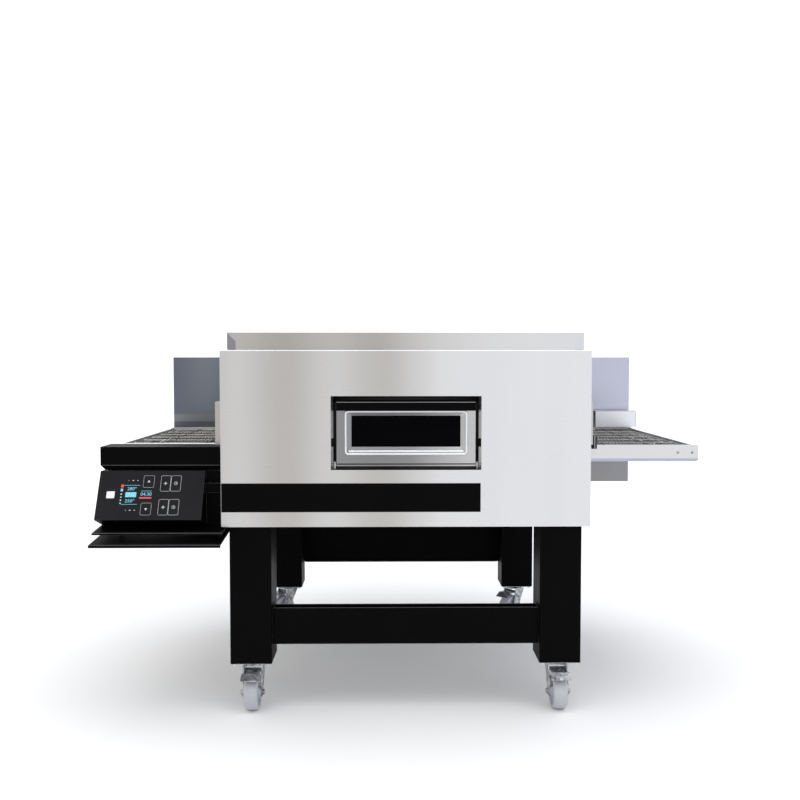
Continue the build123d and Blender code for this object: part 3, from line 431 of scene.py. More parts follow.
def add_piece(name, mesh, body, finish=None, smooth=False):
    """Link a mesh as a piece of the oven that rides on a body."""
    piece = bpy.data.objects.new(name, mesh)
    bpy.context.scene.collection.objects.link(piece)
    if finish:
        mesh.materials.clear()
        mesh.materials.append(finishes[finish])
    if smooth:
        mesh.shade_smooth()
    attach(piece, body)
    return piece


def grow(name, tree, values, source=None):
    """Run a geometry tree once and keep its result as a plain mesh."""
    carrier = bpy.data.objects.new(name, source or bpy.data.meshes.new(name))
    bpy.context.scene.collection.objects.link(carrier)
    modifier = carrier.modifiers.new("Growth", "NODES")
    modifier.node_group = tree
    for item in tree.interface.items_tree:
        if item.item_type == "SOCKET" and item.in_out == "INPUT" and item.name in values:
            modifier[item.identifier] = values[item.name]
    evaluated = carrier.evaluated_get(bpy.context.evaluated_depsgraph_get())
    mesh = bpy.data.meshes.new_from_object(evaluated)
    carrier.modifiers.remove(modifier)
    bpy.data.objects.remove(carrier)
    if not mesh.polygons:
        raise RuntimeError(f"the tree for {name} made nothing")
    mesh.name = name
    return mesh


def open_shape(name, inputs):
    """A new geometry tree that also takes a finish, and puts out geometry."""
    return open_group(name, "GeometryNodeTree", [*inputs, ("Finish", "Material", None)], [("Geometry", "Geometry")])


def close_tree(graph, given, result, geometry, smooth=True):
    """End a geometry tree: real geometry, its shading and its finish."""
    real = graph.out("GeometryNodeRealizeInstances", {0: geometry})
    shaded = graph.out("GeometryNodeSetShadeSmooth", {0: real, 2: smooth})
    finished = graph.out("GeometryNodeSetMaterial", {0: shaded, 2: given["Finish"]})
    graph.feed(result["Geometry"], finished)


def merged_copy(node):
    """A merged bmesh copy of a CAD node."""
    copy = bmesh.new()
    copy.from_mesh(nodes[node].data)
    bmesh.ops.remove_doubles(copy, verts=copy.verts, dist=0.01 * MM)
    return copy


def islands(node):
    """The lowest and highest corner of each separate solid of a CAD node."""
    copy = merged_copy(node)
    seen, boxes = set(), []
    for start in copy.verts:
        if start in seen:
            continue
        stack, members = [start], []
        seen.add(start)
        while stack:
            vertex = stack.pop()
            members.append(vertex.co.copy())
            for edge in vertex.link_edges:
                other = edge.other_vert(vertex)
                if other not in seen:
                    seen.add(other)
                    stack.append(other)
        low = Vector([min(co[axis] for co in members) for axis in range(3)])
        high = Vector([max(co[axis] for co in members) for axis in range(3)])
        boxes.append((low, high))
    copy.free()
    return boxes


def line_mesh(name, points, edges=()):
    """A mesh of points, and of the edges between them."""
    mesh = bpy.data.meshes.new(name)
    mesh.from_pydata([tuple(point) for point in points], list(edges), [])
    return mesh


def point_mesh(name, points, turns):
    """A mesh of loose points, each with the turn its item takes."""
    mesh = line_mesh(name, points)
    attribute = mesh.attributes.new("turn", "FLOAT_VECTOR", "POINT")
    for item, turn in zip(attribute.data, turns):
        item.vector = turn
    return mesh


def arcs(corners, radius, steps):
    """Points along quarter turns, from the centre and the starting angle in degrees of each."""
    points = []
    for x, y, start in corners:
        for step in range(steps + 1):
            angle = math.radians(start + 90 * step / steps)
            points.append((x + radius * math.cos(angle), y + radius * math.sin(angle)))
    return points


def mesh_from(copy, name):
    """Turn a bmesh into a mesh."""
    mesh = bpy.data.meshes.new(name)
    copy.to_mesh(mesh)
    copy.free()
    return mesh


# Settings

class FinishSettings(bpy.types.PropertyGroup):
    """Colours of the oven's finishes."""

    # the two stainless colours are the ends of the painted reflection bands, mixed also by random coil tone
    steel_shade_band: swatch("Stainless shade band", "Stainless sheet in its darker bands", (0.5, 0.482, 0.46))
    steel_sheen_band: swatch("Stainless sheen band", "Stainless sheet in its lighter bands", (0.68, 0.676, 0.68))
    black: swatch("Black paint", "Powder coat of the stand and the covers", (0.0014, 0.0014, 0.0016))
    film: swatch("Control film", "Printed film on the control face", (0.011, 0.011, 0.012))
    wire: swatch("Belt wire", "Wire of the conveyor belt", (0.9, 0.88, 0.84))
    nylon: swatch("Caster nylon", "Treads and hubs of the casters", (0.45, 0.465, 0.5))
    zinc: swatch("Zinc plate", "Caster forks, plates and screws", (0.6, 0.615, 0.64))


class BeltSettings(bpy.types.PropertyGroup):
    """Sizes of the woven wire belt."""

    wire_radius: size("Wire radius", "Half the thickness of one belt wire", 1.15 * MM)
    wires: IntProperty(name="Wires", description="Cross wires round the whole belt", default=318, min=20)
    hook_rows: IntProperty(name="Hook rows", description="Rows in which neighbouring wires are linked", default=7,
                           min=2)
    hook_width: size("Hook width", "Width of one link between two wires", 32 * MM)


class ChainSettings(bpy.types.PropertyGroup):
    """Sizes of the drive chain."""

    links: IntProperty(name="Links", description="Links round both sprockets", default=58, min=8)
    plate_height: size("Plate height", "Height of a link plate", 6.6 * MM)
    roller_radius: size("Roller radius", "Radius of a chain roller", 2.4 * MM)


class ControlSettings(bpy.types.PropertyGroup):
    """Colours and thickness of the prints on the control face."""

    white: swatch("White print", "Key outlines and icons", (0.62, 0.63, 0.66))
    cyan: swatch("Cyan display", "Lit lines and the oven sign", (0.16, 0.5, 0.62))
    red: swatch("Red lamp", "Heating lamp and running bar", (0.6, 0.05, 0.05))
    film_depth: size("Print thickness", "How far the print stands on the film", 0.15 * MM)


class ScrewSettings(bpy.types.PropertyGroup):
    """Sizes of the visible screw heads."""

    dome: FloatProperty(name="Dome", description="Height of a pan head against its radius", default=0.5, min=0.1)
    recess: size("Recess width", "Width of the cross recess", 1.4 * MM)


class TrimSettings(bpy.types.PropertyGroup):
    """Sizes of the hems, beads and folds of the sheet work."""

    hem_radius: size("Hem radius", "Radius of the turned edge along the top of the front panel", 2.0 * MM)
    bead_radius: size("Door bead radius", "Radius of the pressed bead round the door window", 4.4 * MM)
    # the fold beads are painted a lighter grey as an edge highlight
    fold_radius: size("Fold radius", "Radius of the rubbed folds of the painted sheets", 1.4 * MM)


class CasterSettings(bpy.types.PropertyGroup):
    """Sizes of the top plates and the seals of the casters."""

    plate_half: size("Plate half width", "Half the width of a caster's top plate", 71.0 * MM)
    seal_radius: size("Seal radius", "Outer radius of the dust seal round the ball race", 47.0 * MM)


class StageSettings(bpy.types.PropertyGroup):
    """The studio round the oven."""

    distance: size("Camera distance", "From the camera to the front of the oven", 3.0)
    height: size("Camera height", "Height of the camera over the floor", 1.25)
    aside: FloatProperty(name="Camera aside", description="Sideways place of the camera", default=-0.056, unit="LENGTH")
    lens: FloatProperty(name="Lens", description="Focal length of the camera in millimetres", default=38.97, min=1.0)
    pitch: FloatProperty(name="Pitch", description="How far the camera looks down", default=math.radians(2.48),
                         subtype="ANGLE")
    yaw: FloatProperty(name="Yaw", description="How far the camera looks to the right", default=math.radians(0.66),
                       subtype="ANGLE")
    room: FloatProperty(name="Room light", description="Strength of the room behind the camera at its left",
                        default=0.93, min=0.0)
    window: FloatProperty(name="Window light", description="Strength of the room behind the camera at its right",
                          default=1.26, min=0.0)
    sky: FloatProperty(name="Sky light", description="Strength of the light from above and behind", default=1.15,
                       min=0.0)
    floor_width: size("Floor width", "Width of the studio floor", 6.4)


# Finishes of the frame

NODE_FINISHES = {
    "stainless": "brushed steel", "black_paint": "black powder", "control_film": "control film",
    "zinc_plate": "zinc plate", "white_nylon": "caster nylon", "button_plastic": "button plastic",
    "dark_glass": "oven glass", "belt_wire": "belt wire", "shaft_steel": "shaft steel",
    "chamber_steel": "chamber steel", "mineral_wool": "mineral wool", "element_sheath": "element sheath",
    "motor_enamel": "motor enamel", "bush_bronze": "bush bronze", "gland_nylon": "gland nylon",
}
SPECIAL_FINISHES = {
    "backsplash_wings": "wing steel", "conveyor_brackets": "bracket steel", "front_rail": "rail steel",
    "rear_rail": "rail steel", "door_frame": "door steel", "tunnel_hoods": "hood steel",
    "vent_collector": "collector steel", "left_crumb_tray": "tray steel", "right_crumb_tray": "tray steel",
    "belt_supports": "support steel",
}


class OVEN_OT_finishes(bpy.types.Operator):
    """Build the finishes and put them on the pieces of the frame"""

    bl_idname = "oven.finishes"
    bl_label = "Finishes"

    def execute(self, context):
        chosen = context.scene.oven_finishes
        inks = context.scene.oven_control
        effects.update(grain=sheet_grain_group(), edge=edge_sheen_and_rub_group(), powder=powder_group(), heat=heat_group())
        sheet_steel("brushed steel", chosen.steel_shade_band, chosen.steel_sheen_band, 0.26)
        collector_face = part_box("vent_collector")[0].y
        wing_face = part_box("backsplash_wings")[0].y
        # the wings: a darker, bluer copy of the sheet as painted shade, with painted shade bands just over the belt,
        # the right wing lighter as painted light and darker under the conveyor as painted shade
        sheet_steel("wing steel", (0.13, 0.145, 0.178), (0.235, 0.25, 0.28), 0.34, painted_light_zones=(
            ((0.13, 0.135, 0.15), ("Z", 0.978, 0.974), ("Z", 0.95, 0.955), ("Y", wing_face + 0.0013, wing_face)),
            ((0.22, 0.23, 0.25), ("Z", 0.974, 0.978), ("Z", 1.014, 1.004), ("Y", wing_face + 0.0013, wing_face)),
            ((0.47, 0.475, 0.56), ("X", 0.0, 0.01)),
            ((0.25, 0.248, 0.258), ("X", 0.0, 0.01), ("Z", 0.905, 0.895), ("Y", wing_face + 0.0013, wing_face))))
        # the collector: a darker copy of the sheet, lighter towards its right as painted light, its left end darker as
        # painted shade and its right end lighter as painted light
        sheet_steel("collector steel", (0.42, 0.4, 0.38), (0.53, 0.515, 0.49), 0.26, painted_light_zones=(
            ((0.63, 0.622, 0.62), ("X", -0.1, 0.3)),
            ((0.285, 0.275, 0.31), ("X", -0.587, -0.59), ("Y", collector_face + 0.003, collector_face + 0.004)),
            ((0.62, 0.61, 0.65), ("X", 0.587, 0.59), ("Y", collector_face + 0.003, collector_face + 0.004))))
        # a lighter copy of the sheet: on the hem and the door beads its brightness is a painted highlight
        sheet_steel("bright steel", (0.76, 0.765, 0.785), (0.82, 0.825, 0.84), 0.35)
        # the guard box: near black left of x 0.701 m as painted shade on its end
        sheet_steel("bracket steel", (0.71, 0.715, 0.735), (0.74, 0.745, 0.76), 0.35, painted_light_zones=(
            ((0.05, 0.055, 0.065), ("X", 0.702, 0.701)),))
        bare_metal("screw steel", (0.4, 0.44, 0.5), (0.2, 0.22, 0.26), 0.3, patch=60.0)
        # the rails: darker and bluer below 0.9 m as painted shade
        sheet_steel("rail steel", (0.58, 0.57, 0.56), (0.64, 0.63, 0.62), 0.34, painted_light_zones=(
            ((0.42, 0.44, 0.52), ("Z", 0.9, 0.896)),))
        # the door: a darker copy of the sheet as painted shade, lighter from x 0.02 m rightwards as painted light
        sheet_steel("door steel", (0.235, 0.236, 0.24), (0.29, 0.288, 0.29), 0.26, painted_light_zones=(
            ((0.5, 0.495, 0.49), ("X", 0.02, 0.21)),))
        sheet_steel("seam steel", (0.3, 0.3, 0.31), (0.36, 0.36, 0.37), 0.4)
        sheet_steel("hood steel", (0.43, 0.4, 0.37), (0.48, 0.47, 0.46), 0.3)
        # the crumb trays: nearly black as painted shade under the belt
        sheet_steel("tray steel", (0.04, 0.033, 0.027), (0.06, 0.05, 0.042), 0.42)
        powder_paint("black powder", chosen.black, 0.42, 0.035, 0.9)
        # the fold beads' paint: its grey is a painted edge highlight
        powder_paint("rubbed edge", (0.055, 0.055, 0.058), 0.4, 0.25, 0.5)
        powder_paint("control film", chosen.film, 0.5, 0.1, 0.3)
        bare_metal("zinc plate", chosen.zinc, (0.09, 0.09, 0.095), 0.24, patch=48.0)
        weave = context.scene.oven_belt
        belt_low, belt_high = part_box("wire_belt")
        first_row = belt_low.y + weave.wire_radius + weave.hook_width / 2
        last_row = belt_high.y - weave.wire_radius - weave.hook_width / 2
        # the wire between the hook rows is darkened as painted shade
        belt_metal("belt wire", chosen.wire, (0.24, 0.23, 0.22), first_row,
                   (last_row - first_row) / (weave.hook_rows - 1), weave.hook_width / 2)
        # the belt supports: dark as painted shade under the belt, lighter at their ends
        sheet_steel("support steel", (0.15, 0.145, 0.14), (0.19, 0.185, 0.18), 0.38, painted_light_zones=(
            ((0.72, 0.73, 0.75), ("X", 1.061, 1.062)), ((0.72, 0.73, 0.75), ("X", -1.061, -1.062))))
        bare_metal("shaft steel", (0.55, 0.55, 0.56), (0.42, 0.41, 0.4), 0.28, patch=14.0)
        # nearly black as painted shade in the deep cavities, with random heat tint
        bare_metal("chamber steel", (0.09, 0.085, 0.08), (0.03, 0.025, 0.02), 0.4, patch=4.0)
        bare_metal("element sheath", (0.2, 0.16, 0.14), (0.11, 0.07, 0.06), 0.5, patch=12.0)
        bare_metal("motor enamel", (0.3, 0.32, 0.35), (0.24, 0.26, 0.29), 0.42, patch=20.0)
        bare_metal("bush bronze", (0.62, 0.45, 0.25), (0.45, 0.31, 0.17), 0.3, patch=30.0)
        moulded_plastic("caster nylon", chosen.nylon, 0.34)
        moulded_plastic("button plastic", (0.82, 0.83, 0.86), 0.22)
        moulded_plastic("gland nylon", (0.03, 0.03, 0.032), 0.5)
        moulded_plastic("seal rubber", (0.006, 0.006, 0.007), 0.45, specular=0.25)
        moulded_plastic("clip blue", (0.02, 0.03, 0.06), 0.4, specular=0.3)
        tinted_glass("oven glass", (0.001, 0.001, 0.0014))
        wool("mineral wool", (0.62, 0.58, 0.48))
        # the white print glows faintly: a painted glow, since printed ink is no lamp
        print_ink("white print", inks.white, 0.1)
        print_ink("cyan display", inks.cyan, 0.4)
        print_ink("red lamp", inks.red, 0.5)
        slots = {entry["slot"] for entry in frame["record"]["materials"]}
        for name, node in nodes.items():
            for holder in node.material_slots:
                slot = holder.material.name.split(".")[0]
                if slot not in slots:
                    raise RuntimeError(f"{name} has a finish the record doesn't name: {slot}")
                holder.material = finishes[SPECIAL_FINISHES.get(name, NODE_FINISHES[slot])]
        return {"FINISHED"}


# Conveyor belt

def belt_tree():
    """Cross wires that hook into each other, set round the loop of the belt."""
    tree, graph, given, result = open_shape("Hooked wire belt", [
        ("Length", "Float", 2.0), ("Height", "Float", 0.04), ("Width", "Float", 0.8),
        ("Middle", "Vector", (0.0, 0.0, 0.0)), ("Wire Radius", "Float", 0.001),
        ("Wires", "Int", 300), ("Hook Rows", "Int", 8), ("Hook Width", "Float", 0.01)])
    radius = given["Wire Radius"]
    inset = graph.times(radius, 6.0)
    loop_height = graph.minus(given["Height"], inset)
    oblong = graph.out("GeometryNodeCurvePrimitiveQuadrilateral", {
        "Width": graph.minus(given["Length"], inset), "Height": loop_height})
    rounded = graph.out("GeometryNodeFilletCurve", {
        "Curve": oblong, "Count": 12, "Limit Radius": True,
        "Radius": graph.times(loop_height, 0.4999)}, mode="POLY")
    upright = graph.moved(rounded, Translation=given["Middle"], Rotation=(math.pi / 2, 0.0, 0.0))
    loop = graph.out("GeometryNodeCurveToPoints", {"Curve": upright, "Count": given["Wires"]},
                     mode="COUNT")
    index = graph.out("GeometryNodeInputIndex")
    position = graph.out("GeometryNodeInputPosition")
    following = graph.math("MODULO", graph.plus(index, 1.0), given["Wires"])
    next_place = graph.out("GeometryNodeSampleIndex", {"Geometry": loop, "Value": position, "Index": following},
                           data_type="FLOAT_VECTOR")
    ahead = graph.vector_math("SUBTRACT", next_place, position)
    turn = graph.out("FunctionNodeAlignRotationToVector", {"Vector": ahead}, axis="X", pivot_axis="Y")
    length = graph.out("GeometryNodeCurveLength", {0: upright})
    pitch = graph.over(length, given["Wires"])
    # one wire runs across the belt and steps forward over the next wire at each hook row
    bends = graph.times(given["Hook Rows"], 4.0)
    line = graph.out("GeometryNodeCurvePrimitiveLine", {"End": (0.0, 1.0, 0.0)})
    wire = graph.out("GeometryNodeResampleCurve", {"Curve": line, "Count": bends})
    row = graph.math("FLOOR", graph.over(index, 4.0))
    step = graph.minus(index, graph.times(row, 4.0))
    share = graph.over(row, graph.minus(given["Hook Rows"], 1.0))
    span = graph.minus(given["Width"],
                      graph.plus(given["Hook Width"], graph.times(radius, 2.0)))
    row_place = graph.times(graph.minus(share, 0.5), span)
    far_side = graph.minus(graph.math("GREATER_THAN", step, 1.5), 0.5)
    across = graph.plus(row_place, graph.times(far_side, given["Hook Width"]))
    hooked = graph.math("LESS_THAN", graph.math("ABSOLUTE", graph.minus(step, 1.5)), 1.0)
    reach = graph.times(hooked, graph.plus(pitch, radius))
    lift = graph.times(hooked, graph.times(radius, 2.0))
    bent = graph.out("GeometryNodeSetPosition", {"Geometry": wire, "Position": graph.xyz(reach, across, lift)})
    section = graph.out("GeometryNodeCurvePrimitiveCircle", {"Resolution": 3, "Radius": radius})
    solid = graph.out("GeometryNodeCurveToMesh", {"Curve": bent, "Profile Curve": section,
                                                  "Fill Caps": True})
    wires = graph.placed(loop, solid, turn)
    close_tree(graph, given, result, wires)
    return tree


class OVEN_OT_wire_belt(bpy.types.Operator):
    """Weave the conveyor belt from hooked cross wires"""

    bl_idname = "oven.wire_belt"
    bl_label = "Wire belt"

    def execute(self, context):
        chosen = context.scene.oven_belt
        low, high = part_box("wire_belt")
        mesh = grow("belt_wires", belt_tree(), {
            "Length": high.x - low.x, "Height": high.z - low.z, "Width": high.y - low.y, "Middle": (low + high) / 2,
            "Wire Radius": chosen.wire_radius, "Wires": chosen.wires, "Hook Rows": chosen.hook_rows,
            "Hook Width": chosen.hook_width, "Finish": finishes["belt wire"]})
        belt = add_piece("belt_wires", mesh, "oven")
        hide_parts("wire_belt")
        return {"FINISHED"}


# Drive chain

def chain_tree():
    """Link plates and rollers set along a closed chain line."""
    tree, graph, given, result = open_shape("Roller chain", [
        ("Geometry", "Geometry", None), ("Links", "Int", 58),
        ("Plate Height", "Float", 0.006), ("Roller Radius", "Float", 0.002),
        ("Width", "Float", 0.008)])
    line = graph.out("GeometryNodeMeshToCurve", {0: given["Geometry"]})
    loop = graph.add("GeometryNodeCurveToPoints", {"Curve": line, "Count": given["Links"]}, mode="COUNT")
    turn = graph.out("FunctionNodeAlignRotationToVector", {"Vector": loop.outputs["Tangent"]},
                     axis="X", pivot_axis="Y")
    length = graph.out("GeometryNodeCurveLength", {0: line})
    pitch = graph.over(length, given["Links"])
    width = given["Width"]
    outline = graph.out("GeometryNodeCurvePrimitiveQuadrilateral", {
        "Width": graph.plus(pitch, given["Plate Height"]), "Height": given["Plate Height"]})
    oval = graph.out("GeometryNodeFilletCurve", {
        "Curve": outline, "Count": 2, "Limit Radius": True,
        "Radius": graph.times(given["Plate Height"], 0.49)}, mode="POLY")
    face = graph.out("GeometryNodeFillCurve", {0: oval}, mode="NGONS")
    plate = graph.out("GeometryNodeExtrudeMesh", {"Mesh": face, "Offset Scale": 0.9 * MM, "Individual": False})
    closed = graph.add("GeometryNodeJoinGeometry")
    graph.feed(closed.inputs[0], graph.out("GeometryNodeFlipFaces", {0: face}))
    graph.feed(closed.inputs[0], plate)
    index = graph.out("GeometryNodeInputIndex")
    inner = graph.math("MODULO", index, 2.0)
    inward = graph.times(inner, 1.0 * MM)
    roller = graph.out("GeometryNodeMeshCylinder", {
        "Vertices": 8, "Radius": given["Roller Radius"], "Depth": graph.times(width, 0.8)})
    pieces = graph.add("GeometryNodeJoinGeometry")
    for side in (-1.0, 1.0):
        beside = graph.plus(graph.times(width, side * 0.38), 0.45 * MM)
        standing = graph.moved(closed.outputs[0], Rotation=(math.pi / 2, 0.0, 0.0), Translation=graph.xyz(0.0, beside))
        placed = graph.placed(loop.outputs[0], standing, turn)
        moved = graph.out("GeometryNodeTranslateInstances", {
            "Instances": placed, "Translation": graph.xyz(0.0, graph.times(inward, -side), 0.0)})
        graph.feed(pieces.inputs[0], moved)
    lying = graph.moved(roller, Rotation=(math.pi / 2, 0.0, 0.0), Translation=graph.xyz(graph.times(pitch, 0.5)))
    rollers = graph.placed(loop.outputs[0], lying, turn)
    graph.feed(pieces.inputs[0], rollers)
    close_tree(graph, given, result, pieces.outputs[0], smooth=False)
    return tree


def chain_line(first, first_radius, second, second_radius, depth):
    """The closed line of a chain round two sprockets, from their centres and radii."""
    apart = (second - first).length
    lean = math.asin((second_radius - first_radius) / apart)
    heading = math.atan2(second.z - first.z, second.x - first.x)
    points = []
    for centre, radius, start, end in (
            (second, second_radius, math.pi / 2 + lean, -math.pi / 2 - lean),
            (first, first_radius, -math.pi / 2 - lean, -3 * math.pi / 2 + lean)):
        for step in range(17):
            angle = heading + start + (end - start) * step / 16
            points.append((centre.x + radius * math.cos(angle), depth, centre.z + radius * math.sin(angle)))
    return line_mesh("chain_line", points, [(i, (i + 1) % len(points)) for i in range(len(points))])


class OVEN_OT_drive_chain(bpy.types.Operator):
    """Run the roller chain from the gearmotor to the drive shaft"""

    bl_idname = "oven.drive_chain"
    bl_label = "Drive chain"

    def execute(self, context):
        chosen = context.scene.oven_chain
        low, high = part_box("drive_chain")
        depth = (low.y + high.y) / 2
        middle = (low.z + high.z) / 2
        motor_low, motor_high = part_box("motor_sprocket")
        motor_radius = (motor_high.z - motor_low.z) / 2
        driven_radius = (high.z - low.z) / 2 - chosen.plate_height / 2
        driven = Vector((low.x + chosen.plate_height / 2 + driven_radius, depth, middle))
        motor = Vector(((motor_low.x + motor_high.x) / 2, depth, (motor_low.z + motor_high.z) / 2))
        line = chain_line(driven, driven_radius, motor, motor_radius, depth)
        mesh = grow("chain_links", chain_tree(), {
            "Links": chosen.links, "Plate Height": chosen.plate_height, "Roller Radius": chosen.roller_radius,
            "Width": high.y - low.y, "Finish": finishes["shaft steel"]}, line)
        chain = add_piece("chain_links", mesh, "oven")
        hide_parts("drive_chain")
        return {"FINISHED"}


# Prints on the control face

class FacePrint:
    """Collects flat marks in the plane of the control face, in millimetres across and down from its top edge."""

    def __init__(self, thickness):
        copy = merged_copy("control_face")
        forward = [face for face in copy.faces if face.normal.y < -0.5 and face.normal.z > 0.2]
        self.out = sum((face.normal * face.calc_area() for face in forward), Vector()).normalized()
        corners = [vertex.co for face in forward for vertex in face.verts]
        self.top = max(corners, key=lambda co: co.z).copy()
        copy.free()
        self.top.x = 0.0
        self.down = self.out.cross(Vector((1.0, 0.0, 0.0)))
        if self.down.z > 0:
            self.down.negate()
        self.thickness = thickness
        self.marks = {}

    def spot(self, x, down, lift=0.0):
        """A point over the face."""
        return self.top + Vector((x * MM, 0.0, 0.0)) + self.down * down * MM + self.out * lift

    def mesh_of(self, ink):
        """The marks collected so far in one ink."""
        if ink not in self.marks:
            self.marks[ink] = bmesh.new()
        return self.marks[ink]

    def shape(self, ink, points, hole=None):
        """A closed mark, or a ring when it has a hole with as many points."""
        copy = self.mesh_of(ink)
        sides = [(points, self.thickness), (points, 0.0)]
        if hole:
            sides += [(hole, 0.0), (hole, self.thickness)]
        rows = [[copy.verts.new(self.spot(x, down, lift)) for x, down in side] for side, lift in sides]
        pairs = list(zip(rows, rows[1:] + rows[:1]))
        if not hole:
            copy.faces.new(rows[0])
            copy.faces.new(list(reversed(rows[1])))
            pairs = pairs[:1]
        for near, far in pairs:
            for i in range(len(near)):
                j = (i + 1) % len(near)
                copy.faces.new((near[j], near[i], far[i], far[j]))

    def outline(self, left, right, top, bottom, corner, steps=5):
        """The points of a rounded rectangle."""
        return arcs(((right - corner, top + corner, -90), (right - corner, bottom - corner, 0),
                     (left + corner, bottom - corner, 90), (left + corner, top + corner, 180)), corner, steps)

    def bar(self, ink, left, right, top, bottom, corner=0.4):
        """A filled bar."""
        self.shape(ink, self.outline(left, right, top, bottom, corner, 2))

    def ring(self, ink, left, right, top, bottom, corner, stroke):
        """A key outline."""
        self.shape(ink, self.outline(left, right, top, bottom, corner),
                   self.outline(left + stroke, right - stroke, top + stroke, bottom - stroke,
                                max(corner - stroke, 0.2)))

    def polygon(self, ink, x, down, radius, sides, turn=0.0):
        """A small regular sign."""
        self.shape(ink, [(x + radius * math.cos(math.radians(turn) + math.tau * i / sides),
                          down + radius * math.sin(math.radians(turn) + math.tau * i / sides))
                         for i in range(sides)])

    def digits(self, ink, text, left, right, top, bottom):
        """Digits set between two edges."""
        curve = bpy.data.curves.new("digits", "FONT")
        curve.body = text
        carrier = bpy.data.objects.new("digits", curve)
        bpy.context.scene.collection.objects.link(carrier)
        flat = bpy.data.meshes.new_from_object(carrier.evaluated_get(bpy.context.evaluated_depsgraph_get()))
        bpy.data.objects.remove(carrier)
        copy = self.mesh_of(ink)
        xs = [vertex.co.x for vertex in flat.vertices]
        ys = [vertex.co.y for vertex in flat.vertices]
        made = []
        for vertex in flat.vertices:
            x = left + (right - left) * (vertex.co.x - min(xs)) / (max(xs) - min(xs))
            down = bottom + (top - bottom) * (vertex.co.y - min(ys)) / (max(ys) - min(ys))
            made.append(copy.verts.new(self.spot(x, down, self.thickness)))
        for polygon in flat.polygons:
            copy.faces.new([made[i] for i in polygon.vertices])
        bpy.data.meshes.remove(flat)

    def finish(self, ink, name, slot):
        """Make the marks of one ink a piece."""
        copy = self.marks.pop(ink)
        bmesh.ops.recalc_face_normals(copy, faces=copy.faces)
        for face in copy.faces:
            if abs(face.normal.dot(self.out)) > 0.9 and face.calc_center_median().dot(self.out) > \
                    self.top.dot(self.out) + self.thickness * 0.5 and face.normal.dot(self.out) < 0:
                face.normal_flip()
        return add_piece(name, mesh_from(copy, name), "oven", ink)


class OVEN_OT_control_print(bpy.types.Operator):
    """Print the keys, lamps and digits on the control face"""

    bl_idname = "oven.control_print"
    bl_label = "Control prints"

    def execute(self, context):
        face = FacePrint(context.scene.oven_control.film_depth)
        # key outlines: up and down, then two pairs that share a side
        for left, right, top, bottom in ((-922, -884, 18, 62), (-922, -885, 118, 162)):
            face.ring("white print", left, right, top, bottom, 5.0, 0.65)
            middle = (left + right) / 2
            centre = (top + bottom) / 2
            face.polygon("white print", middle, centre, 5.5, 3, -90 if top < 60 else 90)
        for top, bottom in ((18, 76), (105, 162)):
            face.ring("white print", -861, -826.4, top, bottom, 5.0, 0.8)
            face.ring("white print", -825.6, -790, top, bottom, 5.0, 0.8)
            centre = (top + bottom) / 2
            face.bar("white print", -850.0, -838.0, centre - 1.0, centre + 1.0)
            face.bar("white print", -845.0, -843.0, centre - 6.0, centre + 6.0)
            face.ring("white print", -814.0, -802.0, centre - 6.0, centre + 6.0, 5.9, 1.1)
            face.bar("white print", -808.6, -807.4, centre - 4.0, centre + 0.6)
            face.bar("white print", -808.6, -804.6, centre - 0.6, centre + 0.6)
        # the column of lamps and small signs
        face.bar("red lamp", -998, -989, 51, 62, 1.2)
        face.bar("cyan display", -998, -990, 66, 76, 1.2)
        for down, ink in ((86, "white print"), (97, "cyan display"), (108, "white print"), (119, "cyan display")):
            face.bar(ink, -997, -992, down - 2.2, down + 2.2, 1.0)
        # the display: two temperatures, the oven sign, the time and the running bar
        face.bar("cyan display", -988, -932, 53.2, 54.4)
        face.digits("cyan display", "280°", -975, -944, 60, 72)
        face.bar("cyan display", -980, -942, 79, 97, 1.6)
        face.digits("cyan display", "250°", -979, -947, 104, 116)
        face.bar("cyan display", -992, -936, 122.4, 123.6)
        face.bar("cyan display", -927, -889, 74.0, 75.2)
        face.digits("cyan display", "04:30", -927, -889, 80, 92)
        face.bar("red lamp", -931, -888, 97.0, 102.5, 1.0)
        for top in (35, 143):
            for left, wide in ((-974, 2.2), (-961, 6.0), (-944, 4.2)):
                face.bar("white print", left, left + wide, top, top + 2.4, 0.8)
        face.finish("white print", "control_key_prints", "control_film")
        face.finish("cyan display", "control_display_signs", "control_film")
        face.finish("red lamp", "control_lamps", "control_film")
        return {"FINISHED"}


# Screws

def set_heads(graph, given, result, head):
    """End a tree with one head at each point, turned as the point says."""
    turn = graph.out("GeometryNodeInputNamedAttribute", {"Name": "turn"}, data_type="FLOAT_VECTOR")
    points = graph.out("GeometryNodeMeshToPoints", {0: given["Geometry"]})
    heads = graph.placed(points, head, turn)
    close_tree(graph, given, result, heads, smooth=False)


